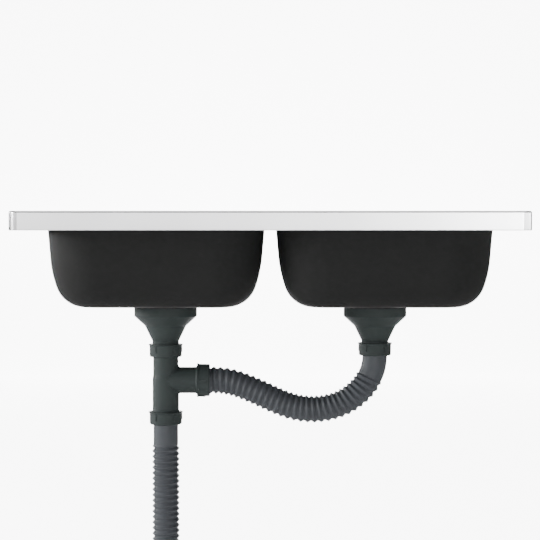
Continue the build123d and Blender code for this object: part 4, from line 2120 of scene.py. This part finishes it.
@dataclass
class WasteKit:
    """All that carries water from the two bowls to the outlet."""

    bridge_route: tuple[Point, ...] = (
        (0.1745, -0.05, -0.2047),
        (0.1743, -0.05, -0.2230),
        (0.1664, -0.05, -0.2465),
        (0.1503, -0.05, -0.2686),
        (0.1265, -0.05, -0.2870),
        (0.0990, -0.05, -0.2973),
        (0.0700, -0.05, -0.3005),
        (0.0410, -0.05, -0.2970),
        (0.0140, -0.05, -0.2875),
        (-0.0140, -0.05, -0.2742),
        (-0.0410, -0.05, -0.2625),
        (-0.0610, -0.05, -0.2553),
        (-0.0837, -0.05, -0.2511),
        (-0.1057, -0.05, -0.2511),
    )
    drop_route: tuple[Point, ...] = (
        (-0.1745, -0.05, -0.3198),
        (-0.1745, -0.05, -0.4000),
        (-0.1745, -0.05, -0.5200),
        (-0.1745, -0.05, -0.6298),
    )

    def build(self) -> None:
        outlet = OutletSpigot().build()
        bridge = RibbedHose(
            name="bridge_hose",
            node="connecting_hose",
            route=self.bridge_route,
            first_rib=40.0,
            last_cuff=4.5,
            pitch=10.1,
            phase=0.43,
            far_end=FarEnd.OBJECT,
        )
        bridge.build()
        drop = RibbedHose(
            name="drop_hose",
            node="drain_hose",
            route=self.drop_route,
            first_rib=38.0,
            last_cuff=6.0,
            pitch=9.2,
            phase=0.70,
            far_end=FarEnd.FITTING,
        )
        drop.build([outlet])
        for side in Side:
            Funnel(side).build()
        Tee().build()
        UnionNut().build()
        for seals in ("union_washers", "funnel_gaskets", "cup_seals"):
            dress_node(seals, RUBBER)
        dress_node("clamp_nuts", BRASS)
        dress_node("clamp_screws", STRAINER_STEEL)


# -------------------------------------------------------------------------------------------- studio


@dataclass(frozen=True)
class Panel:
    """One soft light."""

    name: str
    place: Point
    aim: Point
    size: tuple[float, float]
    brightness: float

    def build(self) -> None:
        """Adds the light."""
        data = bpy.data.lights.new(self.name, "AREA")
        data.shape = "RECTANGLE"
        data.size, data.size_y = self.size
        data.energy = math.pi * self.size[0] * self.size[1] * self.brightness
        lamp = bpy.data.objects.new(self.name, data)
        lamp.location = self.place
        lamp.rotation_euler = (Vector(self.aim) - Vector(self.place)).to_track_quat("-Z", "Y").to_euler()
        bpy.context.scene.collection.objects.link(lamp)


@dataclass
class Studio:
    """The camera, the lights, and the white floor and backdrop."""

    camera_place: Point = (-0.0005, -2.9, 0.0162)
    camera_down_degrees: float = 1.68
    camera_reach: float = 50.0
    focal_pixels: float = 1711.0
    sensor: float = 36.0
    floor_z: float = -0.90
    backdrop_y: float = 8.0
    sweep_front: float = -6.0
    sweep_top: float = 6.0
    sweep_half_width: float = 8.0
    sweep_radius: float = 0.9
    sweep_step_degrees: float = 6.0
    ambient: float = 0.15
    panels: tuple[Panel, ...] = (
        Panel("low_key", (-3.272, -0.877, 0.296), aim=(0.0, 0.0, -0.15), size=(1.6, 0.3), brightness=38.0),
        Panel("low_rim", (-2.933, 1.694, 0.296), aim=(0.0, 0.0, -0.15), size=(1.6, 0.3), brightness=33.0),
        Panel("soft_key", (-3.200, -0.857, 0.765), aim=(0.0, 0.0, -0.2), size=(2.0, 1.0), brightness=9.6),
        Panel("floor_fill", (0.0, -2.6, -0.8), aim=(0.0, 0.0, -0.3), size=(2.5, 0.6), brightness=3.5),
        Panel("top", (0.0, 0.0, 3.0), aim=(0.0, 0.0, 0.0), size=(4.0, 4.0), brightness=1.4),
    )
    wall_y: float = -3.3
    wall_z: float = 0.05
    wall_start: float = -1.05
    wall_step: float = 0.3
    wall_strips: int = 8
    wall_least: float = 3.4
    wall_gain: float = 0.76
    wall_growth: float = 3.1
    side_reach: float = 3.0
    side_strip_height: float = 0.12
    side_step_degrees: float = 15.0
    side_start_degrees: float = 25.0
    left_strips: int = 3
    left_brightness: float = 3.2
    right_strips: int = 6
    right_brightness: float = 11.0

    def front_wall(self) -> list[Panel]:
        """The strips that the deck's skirt mirrors, which grow brighter to the right.

        Returns:
            The strips.
        """
        strips = []
        for number in range(self.wall_strips):
            x = self.wall_start + self.wall_step * number
            brightness = self.wall_least + self.wall_gain * math.exp(self.wall_growth * x)
            place = (x, self.wall_y, self.wall_z)
            size = (self.wall_step, self.wall_step)
            strips.append(Panel(f"wall_{number}", place, (x, 0.0, 0.0), size, brightness))
        return strips

    def side_wall(self, side: Side, strips: int, brightness: float) -> list[Panel]:
        """The strips that one of the deck's front corners mirrors.

        Args:
            side: The corner's side.
            strips: How many strips there are, from the front wall backwards.
            brightness: Their brightness.

        Returns:
            The strips.
        """
        width = 2 * self.side_reach * math.tan(math.radians(self.side_step_degrees / 2))
        panels = []
        for number in range(strips):
            turn = math.radians(self.side_start_degrees + self.side_step_degrees * number)
            x = side.value * self.side_reach * math.sin(turn)
            place = (x, -self.side_reach * math.cos(turn), self.wall_z)
            size = (width, self.side_strip_height)
            name = f"{side.word}_wall_{number}"
            panels.append(Panel(name, place, (0.0, 0.0, self.wall_z), size, brightness))
        return panels

    def build_camera(self) -> None:
        """Sets the camera at the photograph's viewpoint."""
        data = bpy.data.cameras.new("camera")
        data.sensor_width = self.sensor
        data.lens = self.sensor * self.focal_pixels / PICTURE_PIXELS
        data.clip_end = self.camera_reach
        camera = bpy.data.objects.new("camera", data)
        camera.location = self.camera_place
        camera.rotation_euler = (math.radians(90.0 - self.camera_down_degrees), 0.0, 0.0)
        bpy.context.scene.collection.objects.link(camera)
        bpy.context.scene.camera = camera

    def build_stage(self) -> None:
        """Makes the floor and the backdrop in one sweep."""
        low, back = self.floor_z, self.backdrop_y
        corners = [
            (self.sweep_front, low, 0.0),
            (back, low, self.sweep_radius),
            (back, self.sweep_top, 0.0),
        ]
        line = eased_line(corners, False, self.sweep_step_degrees)
        points = [(x, y, z) for y, z in line for x in (-self.sweep_half_width, self.sweep_half_width)]
        faces = [(2 * n, 2 * n + 1, 2 * n + 3, 2 * n + 2) for n in range(len(line) - 1)]
        data = bpy.data.meshes.new("studio_sweep")
        data.from_pydata(points, [], faces)
        data.materials.append(material_of(StudioWhite()))
        sweep = bpy.data.objects.new("studio_sweep", data)
        bpy.context.scene.collection.objects.link(sweep)
        shade(sweep, CREASE_DEGREES)

    def build_world(self) -> None:
        """Makes the faint even light all round."""
        world = bpy.data.worlds.new("studio")
        bpy.context.scene.world = world
        world.use_nodes = True
        shader = world.node_tree.nodes["Background"]
        shader.inputs["Color"].default_value = (1.0, 1.0, 1.0, 1.0)
        shader.inputs["Strength"].default_value = self.ambient

    def build(self) -> None:
        """Makes the whole studio."""
        self.build_camera()
        self.build_stage()
        self.build_world()
        left = self.side_wall(Side.LEFT, self.left_strips, self.left_brightness)
        right = self.side_wall(Side.RIGHT, self.right_strips, self.right_brightness)
        panels = [*self.panels, *self.front_wall(), *left, *right]
        for panel in panels:
            panel.build()
        LOG.info("studio: camera, %d lights, floor and backdrop", len(panels))


def main() -> None:
    """Builds every sub-assembly in order and reports it."""
    logging.basicConfig(level=logging.INFO, format="%(name)s: %(message)s")
    Studio().build()
    WasteKit().build()
    bowls = [Bowl(side) for side in Side]
    Deck().build([bowl.land_form() for bowl in bowls])
    for bowl in bowls:
        bowl.build_steel()
        bowl.build_coat()
    cups = []
    for side in Side:
        strainer = Strainer(side)
        cups.append(strainer.build_cup())
        strainer.build_lifting()
    both = joined(*cups)
    both.name = "waste_strainer_cups"
    stand_for(both, SINK, Slot.POLISHED_STEEL, "strainer_cups")


if __name__ == "__main__":
    main()
